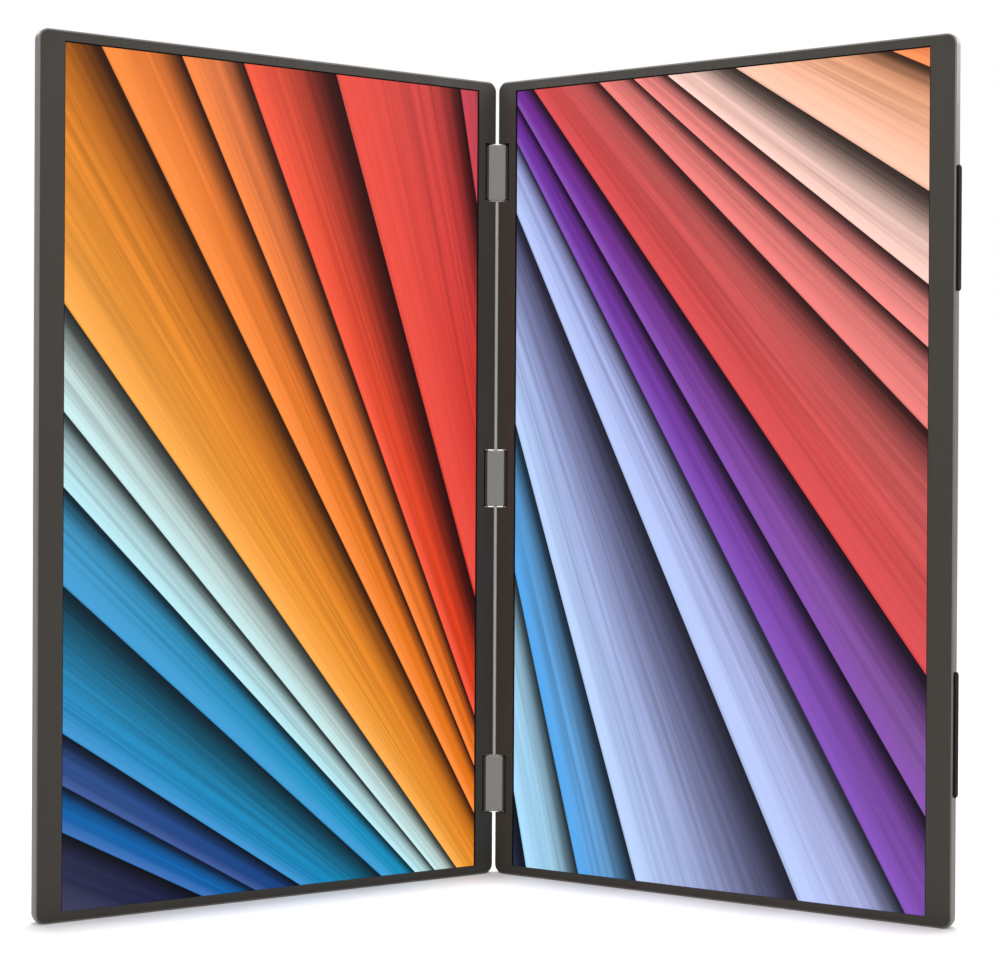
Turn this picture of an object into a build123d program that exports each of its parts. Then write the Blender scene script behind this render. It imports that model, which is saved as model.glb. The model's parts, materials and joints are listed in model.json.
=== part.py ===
from build123d import *
import os

# Dual portable monitor: two display leaves that turn on a spine of three two-axis friction hinges.
# A leaf is drawn flat first: U runs along X from its hinge axis to its outer edge, N is the depth, positive
# towards the screen (-Y), and Z is up from the edge that the leaf stands on. It is then turned about its axis
# into the standing pose. The left leaf is the mirror image of the right one.
# Lengths are in millimetres, angles in degrees.

# Picture area of one display
PICTURE_WIDTH = 230.04
PICTURE_HEIGHT = 408.96

# Leaf outline
LEAF_DEPTH = 8.4
OUTER_BORDER = 13.55
HINGE_BORDER = 11.3
END_BORDER = 5.5
CORNER_RADIUS = 5.0
REAR_ROUND = 4.2
RIM_WIDTH = 0.8
RIM_ROUND = 0.3
SIDE_WALL = 1.6
HINGE_WALL = 1.0
COVER_FLOOR = 1.0
FLOOR_ROUND = 2.8

# Hinges
REST_TURN = 33.0
AXIS_SPACING = 10.6
EDGE_REACH = 2.9
HINGE_INSET = 47.68
BLOCK_DEPTH = 6.2
BLOCK_HEIGHT = 29.5
BLOCK_ROUND = 0.8
BARREL_RADIUS = 2.75
BAR_WIDTH = 9.5
BAR_ROUND = 0.5
BAR_END_ROUND = 0.4
NOTCH_GAP = 0.6
NOTCH_SHELL = 1.2
SHAFT_RADIUS = 1.25
SHAFT_SLOT_GAP = 0.3
RUNNING_FIT = 0.03
SLEEVE_RADIUS = 2.15
SLEEVE_HEIGHT = 12.0
SLEEVE_SLIT = 0.6
SLEEVE_FIT = 0.05
STRIP_WIDTH = 1.2
STRIP_DEPTH = 4.4
STRIP_BACK_DEPTH = 0.6
STRIP_BACK_GAP = 0.15
STRIP_GAP = 0.25

# Brackets that join the shafts to the rear covers
BRACKET_THICK = 1.2
BRACKET_WIDTH = 14.7
BRACKET_GAP = 0.4
FINGER_LENGTH = 10.0
FINGER_GAP = 0.3
FINGER_REACH = 1.2
TANG_LEVEL = -0.3
RIVET_RADIUS = 0.6
RIVET_HEAD_RADIUS = 0.9
RIVET_HEAD_HEIGHT = 0.4
RIVET_FIT = 0.05
RIVET_INSET = 2.5
BRACKET_BOSS_INSET = 7.0

# Bezel and the stack behind it, from front to back
BEZEL_SINK = 0.1
BEZEL_THICK = 0.8
BEZEL_GAP = 0.05
BEZEL_REVEAL = 0.6
HINGE_EDGE_ROUND = 0.5
GLASS_THICK = 1.1
FILMS_THICK = 0.4
GUIDE_THICK = 0.9
REFLECTOR_THICK = 0.2
PLATE_THICK = 0.4
GLASS_MARGIN = 2.4
GLASS_LEDGE = 4.2
FRAME_MARGIN = 3.2
FRAME_LEDGE = 4.8
GUIDE_MARGIN = 1.25
STACK_GAP = 0.1
LIGHT_BAR_WIDTH = 1.0
LAMP_SIZE = 3.0
LAMP_STAND = 0.4
LAMP_COUNT = 36

# Boards
BOARD_THICK = 0.8
BOARD_LEVEL = -1.6
BOARD_START = 13.0
BOARD_HEIGHT = 30.56
BOARD_TOP_GAP = 3.4
MAIN_BOARD_LENGTH = 137.0
RECEIVER_BOARD_LENGTH = 50.0
DRIVER_BOARD_WIDTH = 16.0
DRIVER_BOARD_INSET = 70.0
STANDOFF_RADIUS = 2.2
STANDOFF_INSET = 5.0
STANDOFF_SETBACK = 15.0
# Chips: place along the board, height up the board, width and height
CHIP_THICK = 1.2
RECEIVER_CHIPS = ((29.0, 17.0, 10.0, 10.0),)
MAIN_CHIPS = ((33.0, 12.0, 14.0, 14.0), (67.0, 11.0, 10.0, 8.0), (99.0, 11.0, 8.0, 10.0))

# Screws
SCREW_RADIUS = 0.7
SCREW_FIT = 0.05
SCREW_HEAD_RADIUS = 1.7
SCREW_HEAD_HEIGHT = 0.4
SCREW_LENGTH = 2.4
SCREW_SOCKET_RADIUS = 0.75
SCREW_SOCKET_DEPTH = 0.25
SCREW_TIP_ROOM = 0.1
COVER_SCREW_LENGTH = 4.0
COVER_HEAD_HEIGHT = 0.55
COVER_HEAD_SINK = 0.05
COVER_HEAD_GAP = 0.15
COVER_BOSS_RADIUS = 1.9
COVER_BOSS_OUTER_INSET = 6.4
COVER_BOSS_HINGE_INSET = 6.0
COVER_BOSS_END_INSET = 35.0

# Ribs of the rear cover that carry the panel
RIB_THICK = 1.2
RIB_START = 26.0
RIB_END_INSET = 20.0
RIB_INSET = 90.0
RIB_COUNT = 4

# Sockets and keys on the right leaf's top edge
PORT_LEVEL = -1.4
PORT_SINK = 1.4
PORT_GAP = 0.15
PORT_SHELL = 0.3
USB_WIDTH = 8.94
USB_HEIGHT = 3.16
USB_DEPTH = 7.4
USB_PITCH = 18.0
USB_TO_HDMI = 20.0
USB_TONGUE_WIDTH = 6.7
HDMI_WIDTH = 11.2
HDMI_HEIGHT = 3.1
HDMI_DEPTH = 7.6
HDMI_CHAMFER = 0.9
HDMI_TO_KEYS = 18.0
HDMI_TONGUE_WIDTH = 8.4
PORT_BASE = 1.2
TONGUE_THICK = 0.7
TONGUE_SINK = 0.8
RAIL_MARGIN = 4.0
RAIL_DEPTH = 3.0
KEY_COUNT = 3
KEY_PITCH = 12.0
KEY_INSET = 8.0
KEY_LENGTH = 9.0
KEY_WIDTH = 2.0
KEY_SINK = 0.05
KEY_ROUND = 0.3
KEY_GAP = 0.15
KEY_FLANGE = 0.9
KEY_FLANGE_HEIGHT = 0.7
KEY_TRAVEL = 0.5
SWITCH_SPARE = 0.1
SWITCH_LENGTH = 4.4
SWITCH_HEIGHT = 2.8
SWITCH_DEPTH = 1.3
PLUNGER_LENGTH = 1.6
PLUNGER_HEIGHT = 0.5

# Speakers on the right leaf
SPEAKER_LENGTH = 36.0
SPEAKER_WIDTH = 14.0
SPEAKER_DEPTH = 3.0
SPEAKER_ROUND = 2.0
SPEAKER_HINGE_INSET = 60.0
SPEAKER_OUTER_INSET = 62.0
SPEAKER_LEVEL = 40.0
CONE_MARGIN = 2.5
CONE_DEPTH = 0.6
SLIT_COUNT = 7
SLIT_PITCH = 3.6
SLIT_WIDTH = 1.2
SLIT_LENGTH = 8.0

# Rubber feet on the right leaf
EDGE_FOOT_LENGTH = 59.1
EDGE_FOOT_WIDTH = 4.1
EDGE_FOOT_PROUD = 1.0
EDGE_FOOT_SUNK = 0.5
EDGE_FOOT_LEVEL = 0.9
EDGE_FOOT_INSET = 91.08
EDGE_FOOT_ROUND = 0.4
REAR_FOOT_RADIUS = 5.0
REAR_FOOT_PROUD = 0.8
REAR_FOOT_SUNK = 0.4
REAR_FOOT_ROUND = 0.4
REAR_FOOT_INSET = 28.0
FOOT_GAP = 0.05

# Link cable between the leaves, through the upper hinge block
CABLE_RADIUS = 0.9
CABLE_GAP = 0.3
CABLE_BEND = 4.0
CABLE_RISE = 12.0
CABLE_DROP = 2.0
CABLE_END_GAP = 0.2
CABLE_POCKET_HEIGHT = 10.75
CABLE_PLUG_LENGTH = 6.0
CABLE_PLUG_HEIGHT = 1.4
SHAFT_POCKET_GAP = 1.5

# Places along the leaf that follow from the sizes above
HALF_DEPTH = LEAF_DEPTH / 2
EDGE_IN = -EDGE_REACH
PICTURE_IN = EDGE_IN + HINGE_BORDER
PICTURE_OUT = PICTURE_IN + PICTURE_WIDTH
EDGE_OUT = PICTURE_OUT + OUTER_BORDER
PICTURE_LOW = END_BORDER
PICTURE_HIGH = PICTURE_LOW + PICTURE_HEIGHT
LEAF_HEIGHT = PICTURE_HIGH + END_BORDER
MIDDLE = LEAF_HEIGHT / 2
LOWER_HINGE = HINGE_INSET
UPPER_HINGE = LEAF_HEIGHT - HINGE_INSET
HINGES = (LOWER_HINGE, MIDDLE, UPPER_HINGE)
AXES = (-AXIS_SPACING / 2, AXIS_SPACING / 2)
STRIP_BACK_WIDTH = AXIS_SPACING - LEAF_DEPTH - 2 * STRIP_BACK_GAP

# Depth levels, positive towards the screen
BEZEL_FRONT = HALF_DEPTH - BEZEL_SINK
BEZEL_BACK = BEZEL_FRONT - BEZEL_THICK
GLASS_BACK = BEZEL_BACK - GLASS_THICK
FILMS_BACK = GLASS_BACK - FILMS_THICK
GUIDE_BACK = FILMS_BACK - GUIDE_THICK
REFLECTOR_BACK = GUIDE_BACK - REFLECTOR_THICK
PLATE_BACK = REFLECTOR_BACK - PLATE_THICK
FLOOR_LEVEL = COVER_FLOOR - HALF_DEPTH
BRACKET_BACK = TANG_LEVEL - BRACKET_THICK
BOARD_FRONT = BOARD_LEVEL + BOARD_THICK
BOARD_TOP = LEAF_HEIGHT - BOARD_TOP_GAP
BOARD_LOW = BOARD_TOP - BOARD_HEIGHT
RAIL_LOW = LEAF_HEIGHT - RAIL_DEPTH

# Hinge notch and the places of the bracket fingers, measured from the hinge's middle
NOTCH_HALF = BLOCK_HEIGHT / 2 + NOTCH_GAP
NOTCH_WALL = BLOCK_DEPTH / 2 + NOTCH_GAP
FINGER_START = NOTCH_HALF + NOTCH_SHELL + FINGER_GAP
FINGER_END = FINGER_START + FINGER_LENGTH
BRACKET_IN = NOTCH_WALL + NOTCH_SHELL + BRACKET_GAP
BRACKET_OUT = BRACKET_IN + BRACKET_WIDTH
POCKET_LOW = BLOCK_HEIGHT / 2 - CABLE_POCKET_HEIGHT
OVERSHOOT = 1.0

# Places of sockets, keys and speakers along the right leaf
LAST_KEY = BOARD_START + MAIN_BOARD_LENGTH - KEY_INSET
KEY_PLACES = [LAST_KEY - KEY_PITCH * index for index in reversed(range(KEY_COUNT))]
HDMI_PLACE = KEY_PLACES[0] - HDMI_TO_KEYS
USB_PLACES = (HDMI_PLACE - USB_TO_HDMI - USB_PITCH, HDMI_PLACE - USB_TO_HDMI)
SPEAKER_PLACES = (SPEAKER_HINGE_INSET, EDGE_OUT - SPEAKER_OUTER_INSET)

COVER_SCREW_PLACES = (
    (EDGE_OUT - COVER_BOSS_OUTER_INSET, COVER_BOSS_END_INSET),
    (EDGE_OUT - COVER_BOSS_OUTER_INSET, MIDDLE),
    (EDGE_OUT - COVER_BOSS_OUTER_INSET, LEAF_HEIGHT - COVER_BOSS_END_INSET),
    (EDGE_IN + COVER_BOSS_HINGE_INSET, (LOWER_HINGE + MIDDLE) / 2),
    (EDGE_IN + COVER_BOSS_HINGE_INSET, (UPPER_HINGE + MIDDLE) / 2),
)


# Plain shapes in the leaf's own directions
def middle(span):
    return (span[0] + span[1]) / 2


def length(span):
    return span[1] - span[0]


def around(centre, size):
    return centre - size / 2, centre + size / 2


def slab(u, n, z):
    """A box between two places along each of the leaf's directions."""
    return Pos(middle(u), -middle(n), middle(z)) * Box(length(u), length(n), length(z))


def rounded_slab(u, n, z, radius):
    """A plate in the leaf's plane with rounded corners."""
    outline = Pos(middle(u), middle(z)) * RectangleRounded(length(u), length(z), radius)
    return extrude(Plane.XZ.offset(n[0]) * outline, length(n))


def upright_rod(radius, u, n, z):
    """A round rod along the hinge axis's direction."""
    return Pos(u, -n, middle(z)) * Cylinder(radius, length(z))


def depth_rod(radius, u, n, z):
    """A round rod through the leaf's depth."""
    return Pos(u, -middle(n), z) * Rot(90, 0, 0) * Cylinder(radius, length(n))


def upright_slot(u, n, z):
    """An obround post along Z, with its long side along the leaf."""
    outline = Pos(middle(u), -middle(n)) * SlotOverall(length(u), length(n))
    return extrude(Plane.XY.offset(z[0]) * outline, length(z))


# Rear cover
def leaf_prism():
    return rounded_slab((EDGE_IN, EDGE_OUT), (-HALF_DEPTH, HALF_DEPTH), (0, LEAF_HEIGHT), CORNER_RADIUS)


def notch(centre):
    reach = (EDGE_IN - OVERSHOOT, NOTCH_WALL)
    return slab(reach, (-HALF_DEPTH, HALF_DEPTH), (centre - NOTCH_HALF, centre + NOTCH_HALF))


def notch_housing(centre):
    half = NOTCH_HALF + NOTCH_SHELL
    reach = (EDGE_IN - OVERSHOOT, NOTCH_WALL + NOTCH_SHELL)
    return slab(reach, (-HALF_DEPTH, HALF_DEPTH), (centre - half, centre + half))


def shaft_slot(centre):
    """Slot in both end walls of a notch, open to the front, through which the shaft drops in."""
    half_width = SHAFT_RADIUS + SHAFT_SLOT_GAP
    height = (centre - FINGER_START, centre + FINGER_START)
    return slab((-half_width, half_width), (0, HALF_DEPTH), height) + upright_rod(half_width, 0, 0, height)


def bezel_seat(gap, front):
    """Space of the bezel inside the rim. It runs out over the hinge-side edge."""
    reach = (EDGE_IN - CORNER_RADIUS, EDGE_OUT - RIM_WIDTH - gap)
    height = (RIM_WIDTH + gap, LEAF_HEIGHT - RIM_WIDTH - gap)
    return rounded_slab(reach, (BEZEL_BACK, front), height, CORNER_RADIUS - RIM_WIDTH)


def bracket_screw_places(centre):
    middle_u = middle((BRACKET_IN, BRACKET_OUT))
    low = centre - FINGER_END + BRACKET_BOSS_INSET
    places = [(middle_u, low), (BRACKET_OUT - STANDOFF_RADIUS, centre)]
    if centre != UPPER_HINGE:
        places.append((middle_u, centre + FINGER_END - BRACKET_BOSS_INSET))
    return places


def board_screw_places(board_length):
    low = BOARD_LOW + STANDOFF_INSET
    first = BOARD_START + STANDOFF_SETBACK
    last = BOARD_START + board_length - STANDOFF_INSET
    return [(first, low), (last, low), (first, BOARD_TOP - STANDOFF_INSET)]


def screw_boss(place, top):
    return depth_rod(STANDOFF_RADIUS, place[0], (FLOOR_LEVEL, top), place[1])


def screw_bore(place, top, seat):
    """Pilot hole for a screw whose head sits at the level of the seat."""
    tip = seat - SCREW_LENGTH - SCREW_TIP_ROOM
    return depth_rod(SCREW_RADIUS + SCREW_FIT, place[0], (tip, top), place[1])


def rear_cover(board_length):
    cover = leaf_prism()
    cover = fillet(cover.edges().group_by(Axis.Y)[-1], REAR_ROUND)
    cover = fillet(cover.edges().group_by(Axis.Y)[0], RIM_ROUND)
    reach = (EDGE_IN + HINGE_WALL, EDGE_OUT - SIDE_WALL)
    height = (SIDE_WALL, LEAF_HEIGHT - SIDE_WALL)
    hollow = rounded_slab(reach, (FLOOR_LEVEL, HALF_DEPTH), height, CORNER_RADIUS - SIDE_WALL)
    hollow = fillet(hollow.edges().group_by(Axis.Y)[-1], FLOOR_ROUND)
    hollow -= [notch_housing(centre) for centre in HINGES]
    cover -= hollow
    cover -= bezel_seat(0, HALF_DEPTH + OVERSHOOT)
    cover -= [notch(centre) for centre in HINGES]
    cover -= [shaft_slot(centre) for centre in HINGES]
    rib_reach = (RIB_START, PICTURE_OUT - RIB_END_INSET)
    rib_step = (LEAF_HEIGHT - 2 * RIB_INSET) / (RIB_COUNT - 1)
    rib_levels = [RIB_INSET + rib_step * index for index in range(RIB_COUNT)]
    cover += [slab(rib_reach, (FLOOR_LEVEL, PLATE_BACK), around(level, RIB_THICK)) for level in rib_levels]
    bracket_places = [place for centre in HINGES for place in bracket_screw_places(centre)]
    board_places = board_screw_places(board_length)
    cover += [screw_boss(place, BRACKET_BACK) for place in bracket_places]
    cover += [screw_boss(place, BOARD_LEVEL) for place in board_places]
    cover -= [screw_bore(place, BRACKET_BACK, TANG_LEVEL) for place in bracket_places]
    cover -= [screw_bore(place, BOARD_LEVEL, BOARD_FRONT) for place in board_places]
    head_room = SCREW_HEAD_RADIUS + COVER_HEAD_GAP
    head_seat = -HALF_DEPTH + COVER_HEAD_SINK + COVER_HEAD_HEIGHT
    for u, z in COVER_SCREW_PLACES:
        cover -= depth_rod(head_room, u, (-HALF_DEPTH - OVERSHOOT, head_seat), z)
        cover -= depth_rod(SCREW_RADIUS + SCREW_FIT, u, (-HALF_DEPTH, FLOOR_LEVEL), z)
    return cover


# Bezel
def front_bezel():
    bezel = bezel_seat(BEZEL_GAP, BEZEL_FRONT) & leaf_prism()
    front_edges = bezel.edges().group_by(Axis.Y)[0]
    bezel = fillet(front_edges.sort_by(Axis.X)[0:1], HINGE_EDGE_ROUND)
    opening_u = (PICTURE_IN - BEZEL_REVEAL, PICTURE_OUT + BEZEL_REVEAL)
    opening_z = (PICTURE_LOW - BEZEL_REVEAL, PICTURE_HIGH + BEZEL_REVEAL)
    bezel -= slab(opening_u, (BEZEL_BACK, BEZEL_FRONT), opening_z)
    bezel -= [notch(centre) for centre in HINGES]
    tip = -HALF_DEPTH + COVER_HEAD_SINK + COVER_HEAD_HEIGHT + COVER_SCREW_LENGTH + SCREW_TIP_ROOM
    for u, z in COVER_SCREW_PLACES:
        bezel += depth_rod(COVER_BOSS_RADIUS, u, (FLOOR_LEVEL, BEZEL_BACK), z)
        bezel -= depth_rod(SCREW_RADIUS + SCREW_FIT, u, (FLOOR_LEVEL, tip), z)
    return bezel


# Display stack
def picture_plate(hinge_margin, outer_margin, end_margin, n):
    """A plate that stands out past the picture by a margin on each side."""
    reach = (PICTURE_IN - hinge_margin, PICTURE_OUT + outer_margin)
    return slab(reach, n, (PICTURE_LOW - end_margin, PICTURE_HIGH + end_margin))


def panel_frame():
    ring = picture_plate(FRAME_MARGIN, FRAME_LEDGE, FRAME_MARGIN, (REFLECTOR_BACK, GLASS_BACK))
    side = GUIDE_MARGIN + STACK_GAP
    return ring - picture_plate(side + LIGHT_BAR_WIDTH + STACK_GAP, side, side, (REFLECTOR_BACK, GLASS_BACK))


def light_bar():
    """A strip with a row of lamps, which stand towards the light guide's edge."""
    end = PICTURE_IN - GUIDE_MARGIN - STACK_GAP
    height = (PICTURE_LOW, PICTURE_HIGH)
    depth = (REFLECTOR_BACK, FILMS_BACK)
    bar = slab((end - LIGHT_BAR_WIDTH, end - LAMP_STAND), depth, height)
    step = length(height) / LAMP_COUNT
    places = [height[0] + step * (index + 0.5) for index in range(LAMP_COUNT)]
    return bar + [slab((end - LAMP_STAND, end), depth, around(place, LAMP_SIZE)) for place in places]


def driver_board():
    reach = (PICTURE_OUT - DRIVER_BOARD_WIDTH, PICTURE_OUT)
    height = (DRIVER_BOARD_INSET, LEAF_HEIGHT - DRIVER_BOARD_INSET)
    return slab(reach, (PLATE_BACK - BOARD_THICK, PLATE_BACK), height)


# Hinge hardware of one leaf
def finger_spans(centre):
    """Heights of the bracket's fingers. The upper hinge keeps its upper end free for the link cable."""
    spans = [(centre - FINGER_END, centre - FINGER_START)]
    if centre != UPPER_HINGE:
        spans.append((centre + FINGER_START, centre + FINGER_END))
    return spans


def rivet_heights(span):
    return span[0] + RIVET_INSET, span[1] - RIVET_INSET


def hinge_shaft(centre):
    top = centre + FINGER_END
    if centre == UPPER_HINGE:
        top = centre + POCKET_LOW - SHAFT_POCKET_GAP
    shaft = upright_rod(SHAFT_RADIUS, 0, 0, (centre - FINGER_END, top))
    for span in finger_spans(centre):
        shaft -= slab((-SHAFT_RADIUS, SHAFT_RADIUS), (-SHAFT_RADIUS, TANG_LEVEL), span)
        for z in rivet_heights(span):
            shaft += depth_rod(RIVET_RADIUS, 0, (BRACKET_BACK, TANG_LEVEL), z)
            shaft += depth_rod(RIVET_HEAD_RADIUS, 0, (BRACKET_BACK - RIVET_HEAD_HEIGHT, BRACKET_BACK), z)
    return shaft


def hinge_bracket(centre):
    depth = (BRACKET_BACK, TANG_LEVEL)
    spans = finger_spans(centre)
    top = spans[-1][1]
    if centre == UPPER_HINGE:
        top = centre + STANDOFF_RADIUS
    bracket = slab((BRACKET_IN, BRACKET_OUT), depth, (spans[0][0], top))
    for span in spans:
        bracket += slab((-FINGER_REACH, BRACKET_IN), depth, span)
        for z in rivet_heights(span):
            bracket -= depth_rod(RIVET_RADIUS + RIVET_FIT, 0, depth, z)
    for u, z in bracket_screw_places(centre):
        bracket -= depth_rod(SCREW_RADIUS + SCREW_FIT, u, depth, z)
    return bracket


# Screws
def screw(place, seat, head_height, shank_length, faces_front):
    """A low-headed screw with a round socket. The head stands on the seat, towards the front or the rear."""
    u, z = place
    way = 1 if faces_front else -1
    head_end = seat + way * head_height
    socket_end = head_end - way * SCREW_SOCKET_DEPTH
    head = depth_rod(SCREW_HEAD_RADIUS, u, sorted((seat, head_end)), z)
    shank = depth_rod(SCREW_RADIUS, u, sorted((seat - way * shank_length, seat)), z)
    return head + shank - depth_rod(SCREW_SOCKET_RADIUS, u, sorted((socket_end, head_end)), z)


def bracket_screws():
    places = [place for centre in HINGES for place in bracket_screw_places(centre)]
    return [screw(place, TANG_LEVEL, SCREW_HEAD_HEIGHT, SCREW_LENGTH, True) for place in places]


def board_screws(board_length):
    places = board_screw_places(board_length)
    return [screw(place, BOARD_FRONT, SCREW_HEAD_HEIGHT, SCREW_LENGTH, True) for place in places]


def cover_screws():
    seat = -HALF_DEPTH + COVER_HEAD_SINK + COVER_HEAD_HEIGHT
    return [screw(place, seat, COVER_HEAD_HEIGHT, COVER_SCREW_LENGTH, False) for place in COVER_SCREW_PLACES]


# Boards
def circuit_board(board_length):
    depth = (BOARD_LEVEL, BOARD_FRONT)
    board = slab((BOARD_START, BOARD_START + board_length), depth, (BOARD_LOW, BOARD_TOP))
    for u, z in board_screw_places(board_length):
        board -= depth_rod(SCREW_RADIUS + SCREW_FIT, u, depth, z)
    return board


def chip(u, z, width, height, thick):
    """A chip or connector on the rear face of a board."""
    return slab(around(u, width), (BOARD_LEVEL - thick, BOARD_LEVEL), around(z, height))


def board_chips(chips):
    """The cable's plug and the chips at their places on a board."""
    placed = [cable_plug()]
    for u, z, width, height in chips:
        placed.append(chip(BOARD_START + u, BOARD_LOW + z, width, height, CHIP_THICK))
    return placed


def cable_plug():
    height = UPPER_HINGE + BLOCK_HEIGHT / 2 + CABLE_RISE
    centre = BOARD_START + CABLE_PLUG_LENGTH / 2
    return chip(centre, height, CABLE_PLUG_LENGTH, CABLE_PLUG_LENGTH, CABLE_PLUG_HEIGHT)


# Sockets on the top edge
def port_height(depth):
    return LEAF_HEIGHT - PORT_SINK - depth, LEAF_HEIGHT - PORT_SINK


def usb_prism(u, grow, z):
    half = USB_HEIGHT / 2 + grow
    reach = around(u, USB_WIDTH + 2 * grow)
    return upright_slot(reach, (PORT_LEVEL - half, PORT_LEVEL + half), z)


def usb_shell(u):
    z = port_height(USB_DEPTH)
    return usb_prism(u, 0, z) - usb_prism(u, -PORT_SHELL, (z[0] + PORT_BASE, z[1]))


def hdmi_prism(grow, z):
    """A socket body whose two rear corners are cut off."""
    half = HDMI_HEIGHT / 2 + grow
    body = slab(around(HDMI_PLACE, HDMI_WIDTH + 2 * grow), (PORT_LEVEL - half, PORT_LEVEL + half), z)
    return chamfer(body.edges().filter_by(Axis.Z).group_by(Axis.Y)[-1], HDMI_CHAMFER)


def hdmi_shell():
    z = port_height(HDMI_DEPTH)
    return hdmi_prism(0, z) - hdmi_prism(-PORT_SHELL, (z[0] + PORT_BASE, z[1]))


def port_tongue(u, width, depth):
    z = port_height(depth)
    return slab(around(u, width), around(PORT_LEVEL, TONGUE_THICK), (z[0] + PORT_BASE, z[1] - TONGUE_SINK))


# Keys on the top edge
def key_prism(u, grow, z):
    half = KEY_WIDTH / 2 + grow
    reach = around(u, KEY_LENGTH + 2 * grow)
    return upright_slot(reach, (PORT_LEVEL - half, PORT_LEVEL + half), z)


def key(u):
    """A key cap with a flange that stops it under the cover's rail."""
    cap = key_prism(u, 0, (RAIL_LOW, LEAF_HEIGHT - KEY_SINK))
    cap = fillet(cap.faces().sort_by(Axis.Z)[-1].edges(), KEY_ROUND)
    flange_reach = around(u, KEY_LENGTH + 2 * KEY_FLANGE)
    flange = slab(flange_reach, around(PORT_LEVEL, KEY_WIDTH), (RAIL_LOW - KEY_FLANGE_HEIGHT, RAIL_LOW))
    return cap + flange


def key_switch(u):
    top = RAIL_LOW - KEY_FLANGE_HEIGHT - KEY_TRAVEL - SWITCH_SPARE
    low = top - PLUNGER_HEIGHT
    depth = (BOARD_LEVEL - SWITCH_DEPTH, BOARD_LEVEL)
    body = slab(around(u, SWITCH_LENGTH), depth, (low - SWITCH_HEIGHT, low))
    return body + slab(around(u, PLUNGER_LENGTH), depth, (low, top))


def main_board():
    """The right leaf's board, cut out behind the sockets and under the keys."""
    board = circuit_board(MAIN_BOARD_LENGTH)
    usb_z = port_height(USB_DEPTH)
    hdmi_z = port_height(HDMI_DEPTH)
    depth = (BOARD_LEVEL, BOARD_FRONT)
    for u in USB_PLACES:
        board -= slab(around(u, USB_WIDTH + 2 * PORT_GAP), depth, (usb_z[0] - PORT_GAP, LEAF_HEIGHT))
    board -= slab(around(HDMI_PLACE, HDMI_WIDTH + 2 * PORT_GAP), depth, (hdmi_z[0] - PORT_GAP, LEAF_HEIGHT))
    key_low = RAIL_LOW - KEY_FLANGE_HEIGHT - KEY_TRAVEL - SWITCH_SPARE - PLUNGER_HEIGHT
    key_reach = (KEY_PLACES[0] - KEY_LENGTH, KEY_PLACES[-1] + KEY_LENGTH)
    return board - slab(key_reach, depth, (key_low, LEAF_HEIGHT))


# Speakers
def speaker(u):
    depth = (FLOOR_LEVEL, FLOOR_LEVEL + SPEAKER_DEPTH)
    height = around(SPEAKER_LEVEL, SPEAKER_WIDTH)
    box = rounded_slab(around(u, SPEAKER_LENGTH), depth, height, SPEAKER_ROUND)
    cone_reach = around(u, SPEAKER_LENGTH - 2 * CONE_MARGIN)
    cone_height = around(SPEAKER_LEVEL, SPEAKER_WIDTH - 2 * CONE_MARGIN)
    return box - slab(cone_reach, (FLOOR_LEVEL, FLOOR_LEVEL + CONE_DEPTH), cone_height)


def depth_slot(u, depth, height):
    """An obround slit through the cover, with its long side upright."""
    outline = Pos(u, middle(height)) * SlotOverall(length(height), SLIT_WIDTH, rotation=90)
    return extrude(Plane.XZ.offset(depth[0]) * outline, length(depth))


def speaker_slits(u):
    first = u - SLIT_PITCH * (SLIT_COUNT - 1) / 2
    places = [first + SLIT_PITCH * index for index in range(SLIT_COUNT)]
    depth = (-HALF_DEPTH - OVERSHOOT, FLOOR_LEVEL)
    height = around(SPEAKER_LEVEL, SLIT_LENGTH)
    return [depth_slot(place, depth, height) for place in places]


# Rubber feet
def edge_foot_prism(z, grow, reach):
    """An obround block along the leaf's outer edge."""
    outline = SlotOverall(EDGE_FOOT_LENGTH + 2 * grow, EDGE_FOOT_WIDTH + 2 * grow)
    seat = Plane(origin=(reach[0], -EDGE_FOOT_LEVEL, z), x_dir=(0, 0, 1), z_dir=(1, 0, 0))
    return extrude(seat * outline, length(reach))


def edge_foot(z):
    foot = edge_foot_prism(z, 0, (EDGE_OUT - EDGE_FOOT_SUNK, EDGE_OUT + EDGE_FOOT_PROUD))
    return fillet(foot.faces().sort_by(Axis.X)[-1].edges(), EDGE_FOOT_ROUND)


def edge_foot_heights():
    return EDGE_FOOT_INSET, LEAF_HEIGHT - EDGE_FOOT_INSET


def rear_foot_places():
    near = REAR_FOOT_INSET
    return [(u, z) for u in (near, EDGE_OUT - near) for z in (near, LEAF_HEIGHT - near)]


def rear_foot(place):
    inner = -HALF_DEPTH + REAR_FOOT_SUNK
    foot = depth_rod(REAR_FOOT_RADIUS, place[0], (-HALF_DEPTH - REAR_FOOT_PROUD, inner), place[1])
    return fillet(foot.faces().sort_by(Axis.Y)[-1].edges(), REAR_FOOT_ROUND)


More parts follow.
